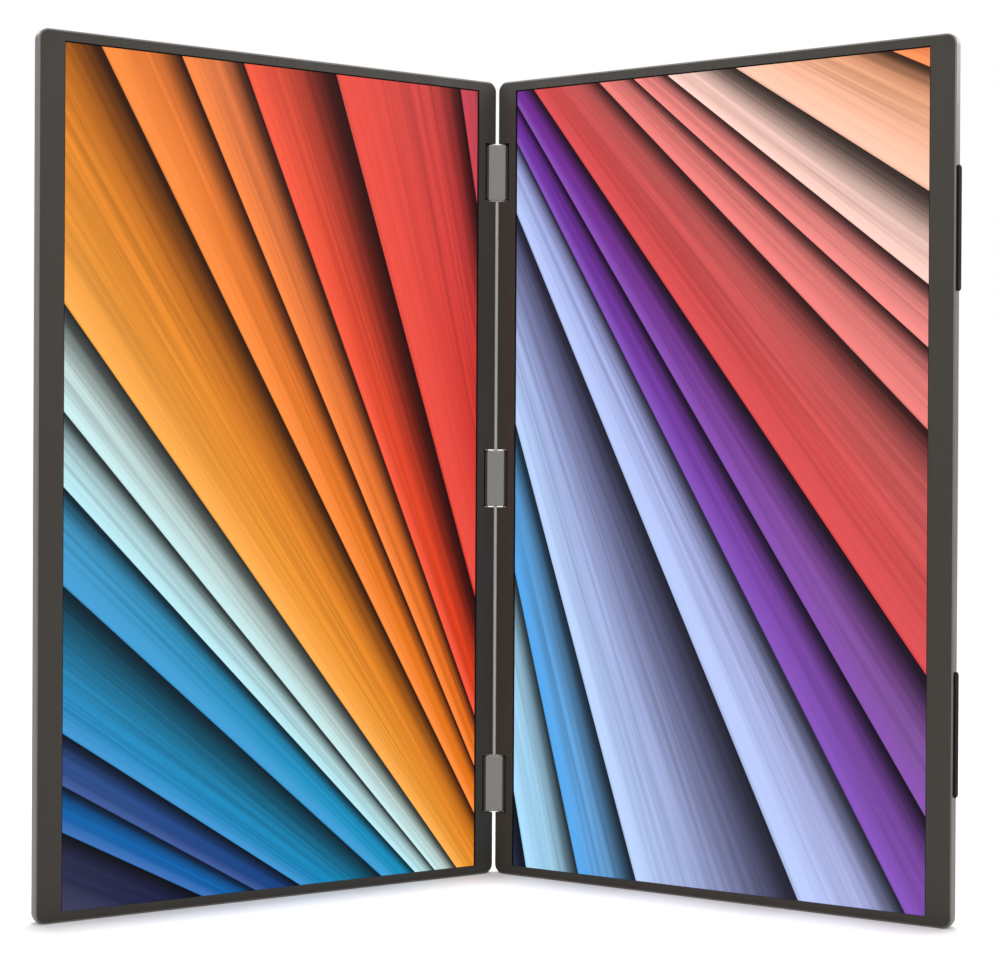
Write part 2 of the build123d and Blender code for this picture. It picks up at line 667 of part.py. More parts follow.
def right_rear_cover():
    """The right leaf's cover, with its rail for sockets and keys, speaker slits and seats for the feet."""
    cover = rear_cover(MAIN_BOARD_LENGTH)
    rail_reach = (USB_PLACES[0] - USB_WIDTH / 2 - RAIL_MARGIN, KEY_PLACES[-1] + KEY_LENGTH / 2 + RAIL_MARGIN)
    rail_front = PORT_LEVEL + USB_HEIGHT / 2 - PORT_GAP / 2
    cover += slab(rail_reach, (FLOOR_LEVEL, rail_front), (RAIL_LOW, LEAF_HEIGHT - SIDE_WALL / 2))
    way_out = (RAIL_LOW - OVERSHOOT, LEAF_HEIGHT + OVERSHOOT)
    cover -= [usb_prism(u, PORT_GAP, way_out) for u in USB_PLACES]
    cover -= hdmi_prism(PORT_GAP, way_out)
    cover -= [key_prism(u, KEY_GAP, way_out) for u in KEY_PLACES]
    cover -= [slit for u in SPEAKER_PLACES for slit in speaker_slits(u)]
    groove = (EDGE_OUT - EDGE_FOOT_SUNK, EDGE_OUT + OVERSHOOT)
    cover -= [edge_foot_prism(z, FOOT_GAP, groove) for z in edge_foot_heights()]
    recess = (-HALF_DEPTH - OVERSHOOT, -HALF_DEPTH + REAR_FOOT_SUNK)
    cover -= [depth_rod(REAR_FOOT_RADIUS + FOOT_GAP, u, recess, z) for u, z in rear_foot_places()]
    return cover


# Link cable
def cable_along(points):
    path = FilletPolyline(*points, radius=CABLE_BEND)
    return sweep(Plane(origin=path @ 0, z_dir=path % 0) * Circle(CABLE_RADIUS), path=path)


def leaf_cable():
    """From the hinge axis above the upper block to the plug on the board."""
    start = UPPER_HINGE + BLOCK_HEIGHT / 2
    end_u = BOARD_START - CABLE_END_GAP
    return cable_along([(0, 0, start), (0, 0, start + CABLE_RISE), (end_u, CABLE_DROP, start + CABLE_RISE)])


def spine_cable():
    """Down one axis, across the upper block and up the other axis."""
    top = UPPER_HINGE + BLOCK_HEIGHT / 2
    low = UPPER_HINGE + POCKET_LOW + CABLE_GAP + CABLE_RADIUS
    half = AXIS_SPACING / 2
    return cable_along([(-half, 0, top), (-half, 0, low), (half, 0, low), (half, 0, top)])


# Spine between the leaves, drawn with its two axes on the X axis
def rounded_ends(shape, radius):
    ends = shape.faces().sort_by(Axis.Z)
    return fillet(ends[0].edges() + ends[-1].edges(), radius)


def hinge_block(centre):
    """A barrel round each axis, joined by a deeper bar."""
    low = centre - BLOCK_HEIGHT / 2
    outline = SlotCenterToCenter(AXIS_SPACING, 2 * BARREL_RADIUS)
    barrels = extrude(Plane.XY.offset(low) * outline, BLOCK_HEIGHT)
    bar = slab(around(0, BAR_WIDTH), around(0, BLOCK_DEPTH), around(centre, BLOCK_HEIGHT))
    bar = fillet(bar.edges().filter_by(Axis.Z), BAR_ROUND)
    block = rounded_ends(barrels, BLOCK_ROUND) + rounded_ends(bar, BAR_END_ROUND)
    bore_top = BLOCK_HEIGHT
    if centre == UPPER_HINGE:
        bore_top = BLOCK_HEIGHT / 2 + POCKET_LOW - SHAFT_POCKET_GAP / 2
        half_pocket = CABLE_RADIUS + CABLE_GAP
        pocket_reach = around(0, AXIS_SPACING + 2 * half_pocket)
        pocket_height = (centre + POCKET_LOW, centre + BLOCK_HEIGHT)
        block -= slab(pocket_reach, (-half_pocket, half_pocket), pocket_height)
    for axis in AXES:
        block -= upright_rod(SHAFT_RADIUS + RUNNING_FIT, axis, 0, (low, low + bore_top))
        block -= upright_rod(SLEEVE_RADIUS + SLEEVE_FIT, axis, 0, (low, low + SLEEVE_HEIGHT))
    return block


def friction_sleeve(centre, axis):
    """A split sleeve in the block, which grips the shaft."""
    low = centre - BLOCK_HEIGHT / 2
    height = (low, low + SLEEVE_HEIGHT)
    sleeve = upright_rod(SLEEVE_RADIUS, axis, 0, height)
    sleeve -= upright_rod(SHAFT_RADIUS + RUNNING_FIT, axis, 0, height)
    return sleeve - slab(sorted((axis, 0)), around(0, SLEEVE_SLIT), height)


def swept_radius():
    """How far the hinge-side corner of a leaf reaches from its axis as the leaf turns."""
    across = EDGE_REACH - HINGE_EDGE_ROUND
    forward = BEZEL_FRONT - HINGE_EDGE_ROUND
    return (across ** 2 + forward ** 2) ** 0.5 + HINGE_EDGE_ROUND


def spine_strip(low_hinge, high_hinge):
    """A strip in the gap between the leaves, hollowed where their corners pass and wider at its back."""
    profile = Rectangle(STRIP_WIDTH, STRIP_DEPTH)
    profile += Pos(0, (STRIP_DEPTH + STRIP_BACK_DEPTH) / 2) * Rectangle(STRIP_BACK_WIDTH, STRIP_BACK_DEPTH)
    for axis in AXES:
        profile -= Pos(axis, 0) * Circle(swept_radius() + STRIP_GAP)
    start = low_hinge + BLOCK_HEIGHT / 2
    return extrude(Plane.XY.offset(start) * profile, high_hinge - low_hinge - BLOCK_HEIGHT)


# Assembly: every node in its standing place
def stand_right(shape):
    return Pos(AXIS_SPACING / 2, 0, 0) * Rot(0, 0, -REST_TURN) * shape


def stand_left(shape):
    return Pos(-AXIS_SPACING / 2, 0, 0) * Rot(0, 0, REST_TURN) * mirror(shape, about=Plane.YZ)


def leaf_pieces():
    """The pieces that both leaves have."""
    film = (GUIDE_MARGIN, GUIDE_MARGIN, GUIDE_MARGIN)
    frame = (FRAME_MARGIN, FRAME_LEDGE, FRAME_MARGIN)
    glass = (GLASS_MARGIN, GLASS_LEDGE, GLASS_MARGIN)
    return {
        "front_bezel": [front_bezel()],
        "display_glass": [picture_plate(*glass, (GLASS_BACK, BEZEL_BACK))],
        "optical_films": [picture_plate(*film, (FILMS_BACK, GLASS_BACK))],
        "light_guide": [picture_plate(*film, (GUIDE_BACK, FILMS_BACK))],
        "reflector_sheet": [picture_plate(*film, (REFLECTOR_BACK, GUIDE_BACK))],
        "light_bar": [light_bar()],
        "panel_frame": [panel_frame()],
        "panel_back_plate": [picture_plate(*frame, (PLATE_BACK, REFLECTOR_BACK))],
        "driver_board": [driver_board()],
        "hinge_brackets": [hinge_bracket(centre) for centre in HINGES],
        "hinge_shafts": [hinge_shaft(centre) for centre in HINGES],
        "bracket_screws": bracket_screws(),
        "cover_screws": cover_screws(),
        "link_cable_end": [leaf_cable()],
    }


def left_only_pieces():
    return {
        "rear_cover": [rear_cover(RECEIVER_BOARD_LENGTH)],
        "receiver_board": [circuit_board(RECEIVER_BOARD_LENGTH)],
        "receiver_chips": board_chips(RECEIVER_CHIPS),
        "board_screws": board_screws(RECEIVER_BOARD_LENGTH),
    }


def right_only_pieces():
    return {
        "rear_cover": [right_rear_cover()],
        "edge_feet": [edge_foot(z) for z in edge_foot_heights()],
        "rear_feet": [rear_foot(place) for place in rear_foot_places()],
        "speakers": [speaker(u) for u in SPEAKER_PLACES],
        "board_screws": board_screws(MAIN_BOARD_LENGTH),
    }


def single_pieces():
    """Pieces of the right leaf that there is only one set of, under names of their own."""
    return {
        "main_board": [main_board()],
        "main_board_chips": board_chips(MAIN_CHIPS),
        "usb_c_shells": [usb_shell(u) for u in USB_PLACES],
        "usb_c_tongues": [port_tongue(u, USB_TONGUE_WIDTH, USB_DEPTH) for u in USB_PLACES],
        "mini_hdmi_shell": [hdmi_shell()],
        "mini_hdmi_tongue": [port_tongue(HDMI_PLACE, HDMI_TONGUE_WIDTH, HDMI_DEPTH)],
        "key_switches": [key_switch(u) for u in KEY_PLACES],
        "power_key": [key(KEY_PLACES[2])],
        "plus_key": [key(KEY_PLACES[1])],
        "minus_key": [key(KEY_PLACES[0])],
    }


def spine_pieces():
    return {
        "lower_hinge_block": [hinge_block(LOWER_HINGE)],
        "middle_hinge_block": [hinge_block(MIDDLE)],
        "upper_hinge_block": [hinge_block(UPPER_HINGE)],
        "lower_spine_strip": [spine_strip(LOWER_HINGE, MIDDLE)],
        "upper_spine_strip": [spine_strip(MIDDLE, UPPER_HINGE)],
        "friction_sleeves": [friction_sleeve(centre, axis) for centre in HINGES for axis in AXES],
        "link_cable_middle": [spine_cable()],
    }


def assemble():
    nodes = {}
    shared = leaf_pieces()
    for name, solids in {**shared, **left_only_pieces()}.items():
        nodes["left_" + name] = [stand_left(solid) for solid in solids]
    for name, solids in {**shared, **right_only_pieces()}.items():
        nodes["right_" + name] = [stand_right(solid) for solid in solids]
    for name, solids in single_pieces().items():
        nodes[name] = [stand_right(solid) for solid in solids]
    nodes.update(spine_pieces())
    return nodes


def flat_solids(shapes):
    return [solid for shape in shapes for solid in shape.solids()]


os.makedirs("parts", exist_ok=True)
assembly = assemble()
every_solid = [solid for shapes in assembly.values() for solid in flat_solids(shapes)]
box = Compound(children=every_solid).bounding_box()
to_origin = Pos(-box.center().X, -box.center().Y, -box.min.Z)
for node, shapes in assembly.items():
    solids = [to_origin * solid for solid in flat_solids(shapes)]
    export_step(solids[0] if len(solids) == 1 else Compound(children=solids), f"parts/{node}.step")
print("size", box.size)
print("middle between the hinge axes", to_origin.position)
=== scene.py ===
import json
import math

import bpy
import numpy as np
from bpy.props import FloatProperty, FloatVectorProperty, IntProperty, PointerProperty
from bpy.types import Operator, Panel, PropertyGroup
from mathutils import Matrix, Vector


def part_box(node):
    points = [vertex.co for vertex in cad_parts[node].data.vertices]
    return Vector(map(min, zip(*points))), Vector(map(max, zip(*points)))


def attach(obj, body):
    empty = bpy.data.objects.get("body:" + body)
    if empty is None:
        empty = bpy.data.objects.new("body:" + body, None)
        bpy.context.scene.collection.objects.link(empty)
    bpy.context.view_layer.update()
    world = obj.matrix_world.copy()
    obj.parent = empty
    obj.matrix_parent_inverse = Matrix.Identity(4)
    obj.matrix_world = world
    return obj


bl_info = {
    "name": "Dual portable monitor finishes",
    "version": (1, 0, 0),
    "blender": (4, 5, 0),
    "location": "3D View > Sidebar > Dual monitor",
    "description": "Dresses the packed dual portable monitor and sets it on a pale stage",
    "category": "Object",
}

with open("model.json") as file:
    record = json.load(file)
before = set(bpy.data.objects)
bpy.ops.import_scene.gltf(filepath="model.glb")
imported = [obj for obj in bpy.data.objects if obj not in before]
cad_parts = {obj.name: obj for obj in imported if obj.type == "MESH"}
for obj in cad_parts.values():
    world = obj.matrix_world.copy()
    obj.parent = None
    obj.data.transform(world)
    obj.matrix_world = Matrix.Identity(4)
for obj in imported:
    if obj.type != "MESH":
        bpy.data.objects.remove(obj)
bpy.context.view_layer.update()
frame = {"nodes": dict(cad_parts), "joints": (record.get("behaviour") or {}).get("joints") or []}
NODES = frame["nodes"]
JOINTS = {joint["name"]: joint for joint in frame["joints"]}
MM = 0.001
WHITE, BLACK = (1.0, 1.0, 1.0), (0.0, 0.0, 0.0)

# The leaves and the spine, in metres, as the part's source has them
SIDES = {"left": -1, "right": 1}
AXES = {side: JOINTS[side + "_fold"]["pos_m"] for side in SIDES}
REST_TURN = math.radians(33.0)
LEAF_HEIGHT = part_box("right_rear_cover")[1].z
BAR_HALF_WIDTH = 4.75 * MM

# The picture on a leaf, which runs down to the bezel's lower lip
PICTURE_IN = 8.4 * MM
PICTURE_OUT = 238.44 * MM
PICTURE_BORDER = 5.5 * MM
LOWER_LIP = 0.6 * MM
GLASS_FRONT = 3.3 * MM
GLASS_SKIN = 0.1 * MM
PICTURE_MIDDLE = (PICTURE_IN + PICTURE_OUT) / 2
PICTURE_HALF_WIDTH = (PICTURE_OUT - PICTURE_IN) / 2
PICTURE_CENTRE = (LEAF_HEIGHT - LOWER_LIP) / 2
PICTURE_HALF_HEIGHT = (LEAF_HEIGHT + LOWER_LIP) / 2 - PICTURE_BORDER

# Sockets on the right leaf's top edge, and the contacts on their tongues
PORT_LEVEL = -1.4 * MM
USB_PLACES = {"inner": 62.0 * MM, "outer": 80.0 * MM}
HDMI_PLACE = 100.0 * MM
TONGUE_HALF = 0.35 * MM
TONGUE_TOP = LEAF_HEIGHT - 2.2 * MM
CONTACT_CENTRE = TONGUE_TOP - 2.6 * MM
CONTACT_HALF_LENGTH = 2.1 * MM
CONTACT_HALF_THICK = 0.02 * MM
USB_CONTACTS = {"count": 12, "pitch": 0.5 * MM, "width": 0.26 * MM}
HDMI_CONTACTS = {"count": 10, "pitch": 0.8 * MM, "width": 0.42 * MM}

# Keys on the same edge, and the signs on them
KEY_PLACES = {"minus_key": 118.0 * MM, "plus_key": 130.0 * MM, "power_key": 142.0 * MM}
KEY_TOP = LEAF_HEIGHT - 0.05 * MM
KEY_GRAIN_SHARE = 0.6
SIGN_HALF_STROKE = 0.09 * MM
SIGN_HALF_LENGTH = 0.55 * MM
RING_RADIUS = 0.6 * MM
RING_START, RING_END = math.radians(125), math.radians(415)
RING_BAR_SHIFT = 0.35 * MM


# Places on a leaf
def leaf_point(side, u, n, z):
    """The point u along a leaf from its hinge axis, n in front of its middle plane and z above the floor."""
    x, y, _ = AXES[side]
    sine, cosine = math.sin(REST_TURN), math.cos(REST_TURN)
    return np.array((x + SIDES[side] * (u * cosine - n * sine), y - u * sine - n * cosine, z))


def leaf_directions(side):
    """Unit vectors along a leaf, out of its front and up."""
    sine, cosine = math.sin(REST_TURN), math.cos(REST_TURN)
    along = np.array((SIDES[side] * cosine, -sine, 0.0))
    front = np.array((-SIDES[side] * sine, -cosine, 0.0))
    return along, front, np.array((0.0, 0.0, 1.0))


# Settings that a user would change
def colour_setting(name, description, default):
    return FloatVectorProperty(
        name=name, description=description, default=default, size=3, min=0.0, max=1.0, subtype="COLOR"
    )


class MonitorFinishes(PropertyGroup):
    """Colours and grain of the rigid pieces."""

    cover_colour: colour_setting("Cover", "Blasted metal of the rear covers", (0.158, 0.150, 0.142))
    bezel_colour: colour_setting("Bezel", "Dark satin frame round each display", (0.0262, 0.0215, 0.0152))
    hinge_colour: colour_setting("Hinge blocks", "Metal of the hinge blocks", (0.198, 0.189, 0.180))
    barrel_painted_shade: colour_setting("Hinge barrels", "Dark coat on the barrels", (0.040, 0.037, 0.033))
    # Painted shade: a dark colour on the hinge blocks' barrel ends that stands in for the shade falling on
    # them in the notches
    strip_colour: colour_setting("Spine strips", "Metal between the hinge blocks", (0.31, 0.297, 0.284))
    rubber_colour: colour_setting("Rubber", "Feet on the edge and on the back", (0.0075, 0.0068, 0.0062))
    key_colour: colour_setting("Keys", "Moulded keys on the top edge", (0.070, 0.066, 0.061))
    mark_colour: colour_setting("Key marks", "Printed signs on the keys", (0.62, 0.61, 0.58))
    contact_colour: colour_setting("Contacts", "Plated contacts in the sockets", (0.78, 0.56, 0.22))
    metal_grain: FloatProperty(
        name="Metal grain", description="Size of the blasted grain",
        default=0.28 * MM, min=0.02 * MM, unit="LENGTH",
    )
    bezel_grain: FloatProperty(
        name="Bezel grain", description="Size of the moulded grain",
        default=0.22 * MM, min=0.02 * MM, unit="LENGTH",
    )
    mark_height: FloatProperty(
        name="Mark height", description="How far a printed sign stands proud",
        default=0.03 * MM, unit="LENGTH",
    )


class MonitorPicture(PropertyGroup):
    """The fan of pleats on each display."""

    left_fan: FloatVectorProperty(
        name="Left fan", description="Point that the left pleats spread from, off the display's middle",
        default=(0.20, 0.0, -0.33), size=3, subtype="XYZ",
    )
    right_fan: FloatVectorProperty(
        name="Right fan", description="Point that the right pleats spread from, off the display's middle",
        default=(-0.22, 0.0, 0.36), size=3, subtype="XYZ",
    )
    left_start: FloatProperty(
        name="Left start", description="Angle of the left fan's first pleat",
        default=math.radians(97.0), subtype="ANGLE",
    )
    right_start: FloatProperty(
        name="Right start", description="Angle of the right fan's first pleat",
        default=math.radians(-23.0), subtype="ANGLE",
    )
    spread: FloatProperty(
        name="Spread", description="Angle that a whole fan covers",
        default=math.radians(62.0), subtype="ANGLE",
    )
    pleats: IntProperty(name="Pleats", description="Number of pleats in a fan", default=13, min=2)
    brightness: FloatProperty(
        name="Brightness", description="Strength of the displays' light",
        default=1.0, min=0.0, subtype="FACTOR",
    )


class MonitorStage(PropertyGroup):
    """Floor, lamps and surroundings."""

    floor_colour: colour_setting("Floor", "Pale floor", (0.85, 0.85, 0.85))
    floor_glow: FloatProperty(
        name="Floor glow", description="White that the floor shows where it is seen",
        default=0.04, subtype="FACTOR",
    )
    ambient: FloatProperty(
        name="Ambient", description="Even light from all round", default=0.40, subtype="FACTOR"
    )
    front_panel: FloatProperty(
        name="Front panel", description="Wide soft light from the front, above", default=1.0
    )
    top_panel: FloatProperty(
        name="Top panel", description="Light from overhead, for the shadow", default=1.85
    )
    edge_lamp: FloatProperty(
        name="Edge lamp", description="Softbox on the right, above", default=6.0, unit="POWER"
    )
    left_lamp: FloatProperty(
        name="Left lamp", description="Softbox in front, left", default=4.0, unit="POWER"
    )
    right_lamp: FloatProperty(
        name="Right lamp", description="Softbox in front, right", default=4.0, unit="POWER"
    )
    rear_lamp: FloatProperty(
        name="Rear lamp", description="Softbox behind, left", default=5.0, unit="POWER"
    )


# Building blocks for node trees
VECTOR, NUMBER = "NodeSocketVector", "NodeSocketFloat"
# Places of the colour sockets on a mix node
MIX_FACTOR, MIX_FIRST, MIX_SECOND, MIX_RESULT = 0, 6, 7, 2


def add_node(tree, kind, inputs=None, **settings):
    """A node with its settings made, and each named input linked or given its value."""
    made = tree.nodes.new(kind)
    for name, value in settings.items():
        setattr(made, name, value)
    for key, value in (inputs or {}).items():
        if isinstance(value, bpy.types.NodeSocket):
            tree.links.new(value, made.inputs[key])
        else:
            made.inputs[key].default_value = value
    return made


def maths(tree, operation, *values):
    return add_node(tree, "ShaderNodeMath", dict(enumerate(values)), operation=operation).outputs[0]


def noise(tree, vector, scale, kind):
    detail, roughness = kind
    inputs = {"Vector": vector, "Scale": scale, "Detail": detail, "Roughness": roughness}
    return add_node(tree, "ShaderNodeTexNoise", inputs).outputs["Fac"]


def ranged(tree, value, low, high, to_low, to_high, kind="LINEAR"):
    """A value from low to high brought to another range, and held at its ends."""
    inputs = {"Value": value, "From Min": low, "From Max": high, "To Min": to_low, "To Max": to_high}
    return add_node(tree, "ShaderNodeMapRange", inputs, interpolation_type=kind).outputs["Result"]


def eased(tree, value, span):
    """Nothing at the low end of a span, one at its high end, and a smooth step between."""
    return ranged(tree, value, *span, 0.0, 1.0, "SMOOTHSTEP")


def mixed(tree, factor, first, second, blend="MIX"):
    inputs = {MIX_FACTOR: factor, MIX_FIRST: first, MIX_SECOND: second}
    made = add_node(tree, "ShaderNodeMix", inputs, data_type="RGBA", blend_type=blend)
    return made.outputs[MIX_RESULT]


def opaque(colour, gain=1.0):
    return (*(min(1.0, part * gain) for part in colour), 1.0)


def new_group(name, inputs, outputs):
    """An empty shader group with named sockets: its tree, its input sockets and its output node."""
    tree = bpy.data.node_groups.new(name, "ShaderNodeTree")
    for socket, kind in inputs.items():
        tree.interface.new_socket(socket, in_out="INPUT", socket_type=kind)
    for socket in outputs:
        tree.interface.new_socket(socket, in_out="OUTPUT", socket_type=NUMBER)
    return tree, tree.nodes.new("NodeGroupInput").outputs, tree.nodes.new("NodeGroupOutput")


# Shared effects. A noise's kind is its detail and its roughness.
GRAIN, CLOUDS, LINES, PLEATS = "Fine grain", "Handling clouds", "Drawn lines", "Fan pleats"
GRAIN_NOISE, SPECK_NOISE = (3.0, 0.6), (3.0, 0.7)
SPECK_SCALE = 0.31
CLOUD_NOISE, WIPE_NOISE = (2.0, 0.5), (4.0, 0.65)
CLOUD_SPAN, WIPE_SPAN = (0.3, 0.7), (0.45, 0.75)
WIPE_SCALE = 3.0
WIPE_SQUEEZE = (1.0, 1.0, 0.35)
LINE_NOISE = (3.0, 0.6)

# Pleats: how uneven their widths are, how their colours are picked, and spans across and along a pleat
SWAY_RATE, SWAY_AMOUNT = 1.7, 0.38
CHANCE_SHIFT = 7.0
STEP_SHARE, SLOPE_SHARE = 0.6, 0.4
PLACE_SCATTER = 0.16
VALLEY_SPAN, RIDGE_SPAN, CREST_SPAN = (0.0, 0.55), (0.62, 0.97), (0.97, 1.0)
FADE_SPAN = (0.17, 0.66)
THREAD_NOISE = (2.0, 0.55)
THREADS_ACROSS, THREADS_ALONG = 190.0, 5.0


def make_grain_group():
    """Fine grain: a small noise for height, and a coarser one for specks of colour."""
    tree, given, result = new_group(GRAIN, {"Vector": VECTOR, "Size": NUMBER}, ("Height", "Specks"))
    fine = maths(tree, "DIVIDE", 1.0, given["Size"])
    coarse = maths(tree, "MULTIPLY", fine, SPECK_SCALE)
    tree.links.new(noise(tree, given["Vector"], fine, GRAIN_NOISE), result.inputs["Height"])
    tree.links.new(noise(tree, given["Vector"], coarse, SPECK_NOISE), result.inputs["Specks"])


def make_clouds_group():
    """Handling clouds: a broad soft noise, and a sharper one of wiped patches."""
    tree, given, result = new_group(CLOUDS, {"Vector": VECTOR, "Size": NUMBER}, ("Clouds", "Wipes"))
    scale = maths(tree, "DIVIDE", 1.0, given["Size"])
    soft = noise(tree, given["Vector"], scale, CLOUD_NOISE)
    squeezed = add_node(tree, "ShaderNodeMapping", {"Vector": given["Vector"], "Scale": WIPE_SQUEEZE})
    wiped = noise(tree, squeezed.outputs[0], maths(tree, "MULTIPLY", scale, WIPE_SCALE), WIPE_NOISE)
    tree.links.new(eased(tree, soft, CLOUD_SPAN), result.inputs["Clouds"])
    tree.links.new(eased(tree, wiped, WIPE_SPAN), result.inputs["Wipes"])


def make_lines_group():
    """Drawn lines: a noise that is long along the height and narrow across it, as drawn metal has."""
    sockets = {"Vector": VECTOR, "Width": NUMBER, "Stretch": NUMBER}
    tree, given, result = new_group(LINES, sockets, ("Lines",))
    flat = maths(tree, "DIVIDE", 1.0, given["Stretch"])
    squeeze = add_node(tree, "ShaderNodeCombineXYZ", {"X": 1.0, "Y": 1.0, "Z": flat})
    longer = add_node(
        tree, "ShaderNodeVectorMath", {0: given["Vector"], 1: squeeze.outputs[0]}, operation="MULTIPLY"
    )
    lines = noise(tree, longer.outputs[0], maths(tree, "DIVIDE", 1.0, given["Width"]), LINE_NOISE)
    tree.links.new(lines, result.inputs["Lines"])


def make_pleats_group():
    """Fan pleats: straight folds that spread from one point.

    The angle about that point, counted in pleats, gives each pleat its number. The rest of that count is the
    place across the pleat, which shades it from valley to ridge.
    """
    sockets = {"Vector": VECTOR, "Fan X": NUMBER, "Fan Z": NUMBER, "Start": NUMBER, "Spread": NUMBER}
    sockets |= {"Turn": NUMBER, "Pleats": NUMBER}
    tree, given, result = new_group(PLEATS, sockets, ("Place", "Shade", "Gleam", "Fade", "Threads"))
    parts = add_node(tree, "ShaderNodeSeparateXYZ", {0: given["Vector"]}).outputs
    across = maths(tree, "SUBTRACT", parts["X"], given["Fan X"])
    upward = maths(tree, "SUBTRACT", parts["Z"], given["Fan Z"])
    squares = maths(tree, "POWER", across, 2.0), maths(tree, "POWER", upward, 2.0)
    reach = maths(tree, "SQRT", maths(tree, "ADD", *squares))
    angle = maths(tree, "ARCTAN2", upward, across)
    turned = maths(tree, "MULTIPLY", maths(tree, "SUBTRACT", angle, given["Start"]), given["Turn"])
    share = maths(tree, "DIVIDE", turned, given["Spread"])
    even = maths(tree, "MULTIPLY", share, given["Pleats"])
    wave = maths(tree, "SINE", maths(tree, "MULTIPLY", even, SWAY_RATE))
    counted = maths(tree, "ADD", even, maths(tree, "MULTIPLY", wave, SWAY_AMOUNT))
    number = maths(tree, "FLOOR", counted)
    fraction = maths(tree, "SUBTRACT", counted, number)
    seed = maths(tree, "ADD", number, CHANCE_SHIFT)
    chance = add_node(tree, "ShaderNodeTexWhiteNoise", {"W": seed}, noise_dimensions="1D").outputs["Value"]

    # The place in the row of colours is mostly stepped from pleat to pleat, and a little by chance
    stepped = maths(tree, "DIVIDE", maths(tree, "ADD", number, 0.5), given["Pleats"])
    steps = maths(tree, "MULTIPLY", stepped, STEP_SHARE)
    blended = maths(tree, "ADD", steps, maths(tree, "MULTIPLY", share, SLOPE_SHARE))
    scatter = maths(tree, "MULTIPLY", maths(tree, "SUBTRACT", chance, 0.5), PLACE_SCATTER)
    ridge = eased(tree, fraction, RIDGE_SPAN)
    crest = ranged(tree, fraction, *CREST_SPAN, 1.0, 0.0)
    fade = eased(tree, reach, FADE_SPAN)
    strands = add_node(tree, "ShaderNodeCombineXYZ", {
        "X": maths(tree, "MULTIPLY", angle, THREADS_ACROSS),
        "Y": maths(tree, "MULTIPLY", reach, THREADS_ALONG),
        "Z": number,
    }).outputs[0]
    for name, value in {
        "Place": maths(tree, "ADD", blended, scatter),
        "Shade": eased(tree, fraction, VALLEY_SPAN),
        "Gleam": maths(tree, "MULTIPLY", ridge, crest),
        "Fade": maths(tree, "MULTIPLY", fade, chance),
        "Threads": noise(tree, strands, 1.0, THREAD_NOISE),
    }.items():
        tree.links.new(value, result.inputs[name])


GROUP_MAKERS = {
    GRAIN: make_grain_group,
    CLOUDS: make_clouds_group,
    LINES: make_lines_group,
    PLEATS: make_pleats_group,
}


def use_group(tree, name, inputs):
    """The outputs of a shared group, which is made when it is first used."""
    if name not in bpy.data.node_groups:
        GROUP_MAKERS[name]()
    return add_node(tree, "ShaderNodeGroup", inputs, node_tree=bpy.data.node_groups[name]).outputs


# Materials
GRAIN_BUMP = 0.35
HANDLING_SIZE = 90 * MM
HANDLING_DIVISOR = 3
HANDLING_SHINE = 0.10
DRAWN_CLOUD_SIZE = 40 * MM
DRAWN_WEAR = 0.05
LINE_SPAN = (0.3, 0.7)
LINE_ROUGHNESS = 0.06
LINE_BUMP, LINE_DEPTH = 0.2, 0.01 * MM


def new_finish(name, **sockets):
    """A material with its shader's plain values set: the material, its tree and its shader."""
    finish = bpy.data.materials.new(name)
    finish.use_nodes = True
    tree = finish.node_tree
    shader = tree.nodes["Principled BSDF"]
    for key, value in sockets.items():
        shader.inputs[key.replace("_", " ")].default_value = value
    return finish, tree, shader


def coordinates(tree, location=(0.0, 0.0, 0.0), turn=0.0):
    """Object coordinates, moved to a place and turned about the height."""
    source = add_node(tree, "ShaderNodeTexCoord").outputs["Object"]
    inputs = {"Vector": source, "Location": location, "Rotation": (0.0, 0.0, turn)}
    return add_node(tree, "ShaderNodeMapping", inputs, vector_type="TEXTURE").outputs[0]


def bumped(tree, shader, height, strength, distance):
    inputs = {"Height": height, "Strength": strength, "Distance": distance}
    tree.links.new(add_node(tree, "ShaderNodeBump", inputs).outputs[0], shader.inputs["Normal"])


def grained(name, colour, roughness, grain, depth, spread=0.12, metallic=0.0, specular=0.5):
    """A grained finish: specks vary the colour, handling the roughness, and the grain gives the bump."""
    finish, tree, shader = new_finish(name, Metallic=metallic, Specular_IOR_Level=specular)
    place = coordinates(tree)
    grains = use_group(tree, GRAIN, {"Vector": place, "Size": grain})
    clouds = use_group(tree, CLOUDS, {"Vector": place, "Size": HANDLING_SIZE})
    specks = mixed(tree, grains["Specks"], opaque(colour, 1 - spread), opaque(colour, 1 + spread))
    handled = mixed(tree, clouds["Clouds"], opaque(WHITE, 1 - spread / HANDLING_DIVISOR), opaque(WHITE))
    tree.links.new(mixed(tree, 1.0, specks, handled, "MULTIPLY"), shader.inputs["Base Color"])
    rough = ranged(tree, clouds["Wipes"], 0.0, 1.0, roughness, roughness - HANDLING_SHINE)
    tree.links.new(rough, shader.inputs["Roughness"])
    bumped(tree, shader, grains["Height"], GRAIN_BUMP, depth)
    return finish


def drawn(name, colour, roughness, width, stretch, spread=0.15):
    """A drawn metal: fine lines along the height vary its colour, roughness and bump."""
    finish, tree, shader = new_finish(name, Metallic=1.0)
    place = coordinates(tree)
    lines = use_group(tree, LINES, {"Vector": place, "Width": width, "Stretch": stretch})["Lines"]
    clouds = use_group(tree, CLOUDS, {"Vector": place, "Size": DRAWN_CLOUD_SIZE})
    tone = mixed(tree, lines, opaque(colour, 1 - spread), opaque(colour, 1 + spread))
    tree.links.new(tone, shader.inputs["Base Color"])
    lined = ranged(tree, lines, *LINE_SPAN, roughness - LINE_ROUGHNESS, roughness + LINE_ROUGHNESS)
    worn = maths(tree, "MULTIPLY", clouds["Wipes"], DRAWN_WEAR)
    tree.links.new(maths(tree, "ADD", lined, worn), shader.inputs["Roughness"])
    bumped(tree, shader, lines, LINE_BUMP, LINE_DEPTH)
    return finish


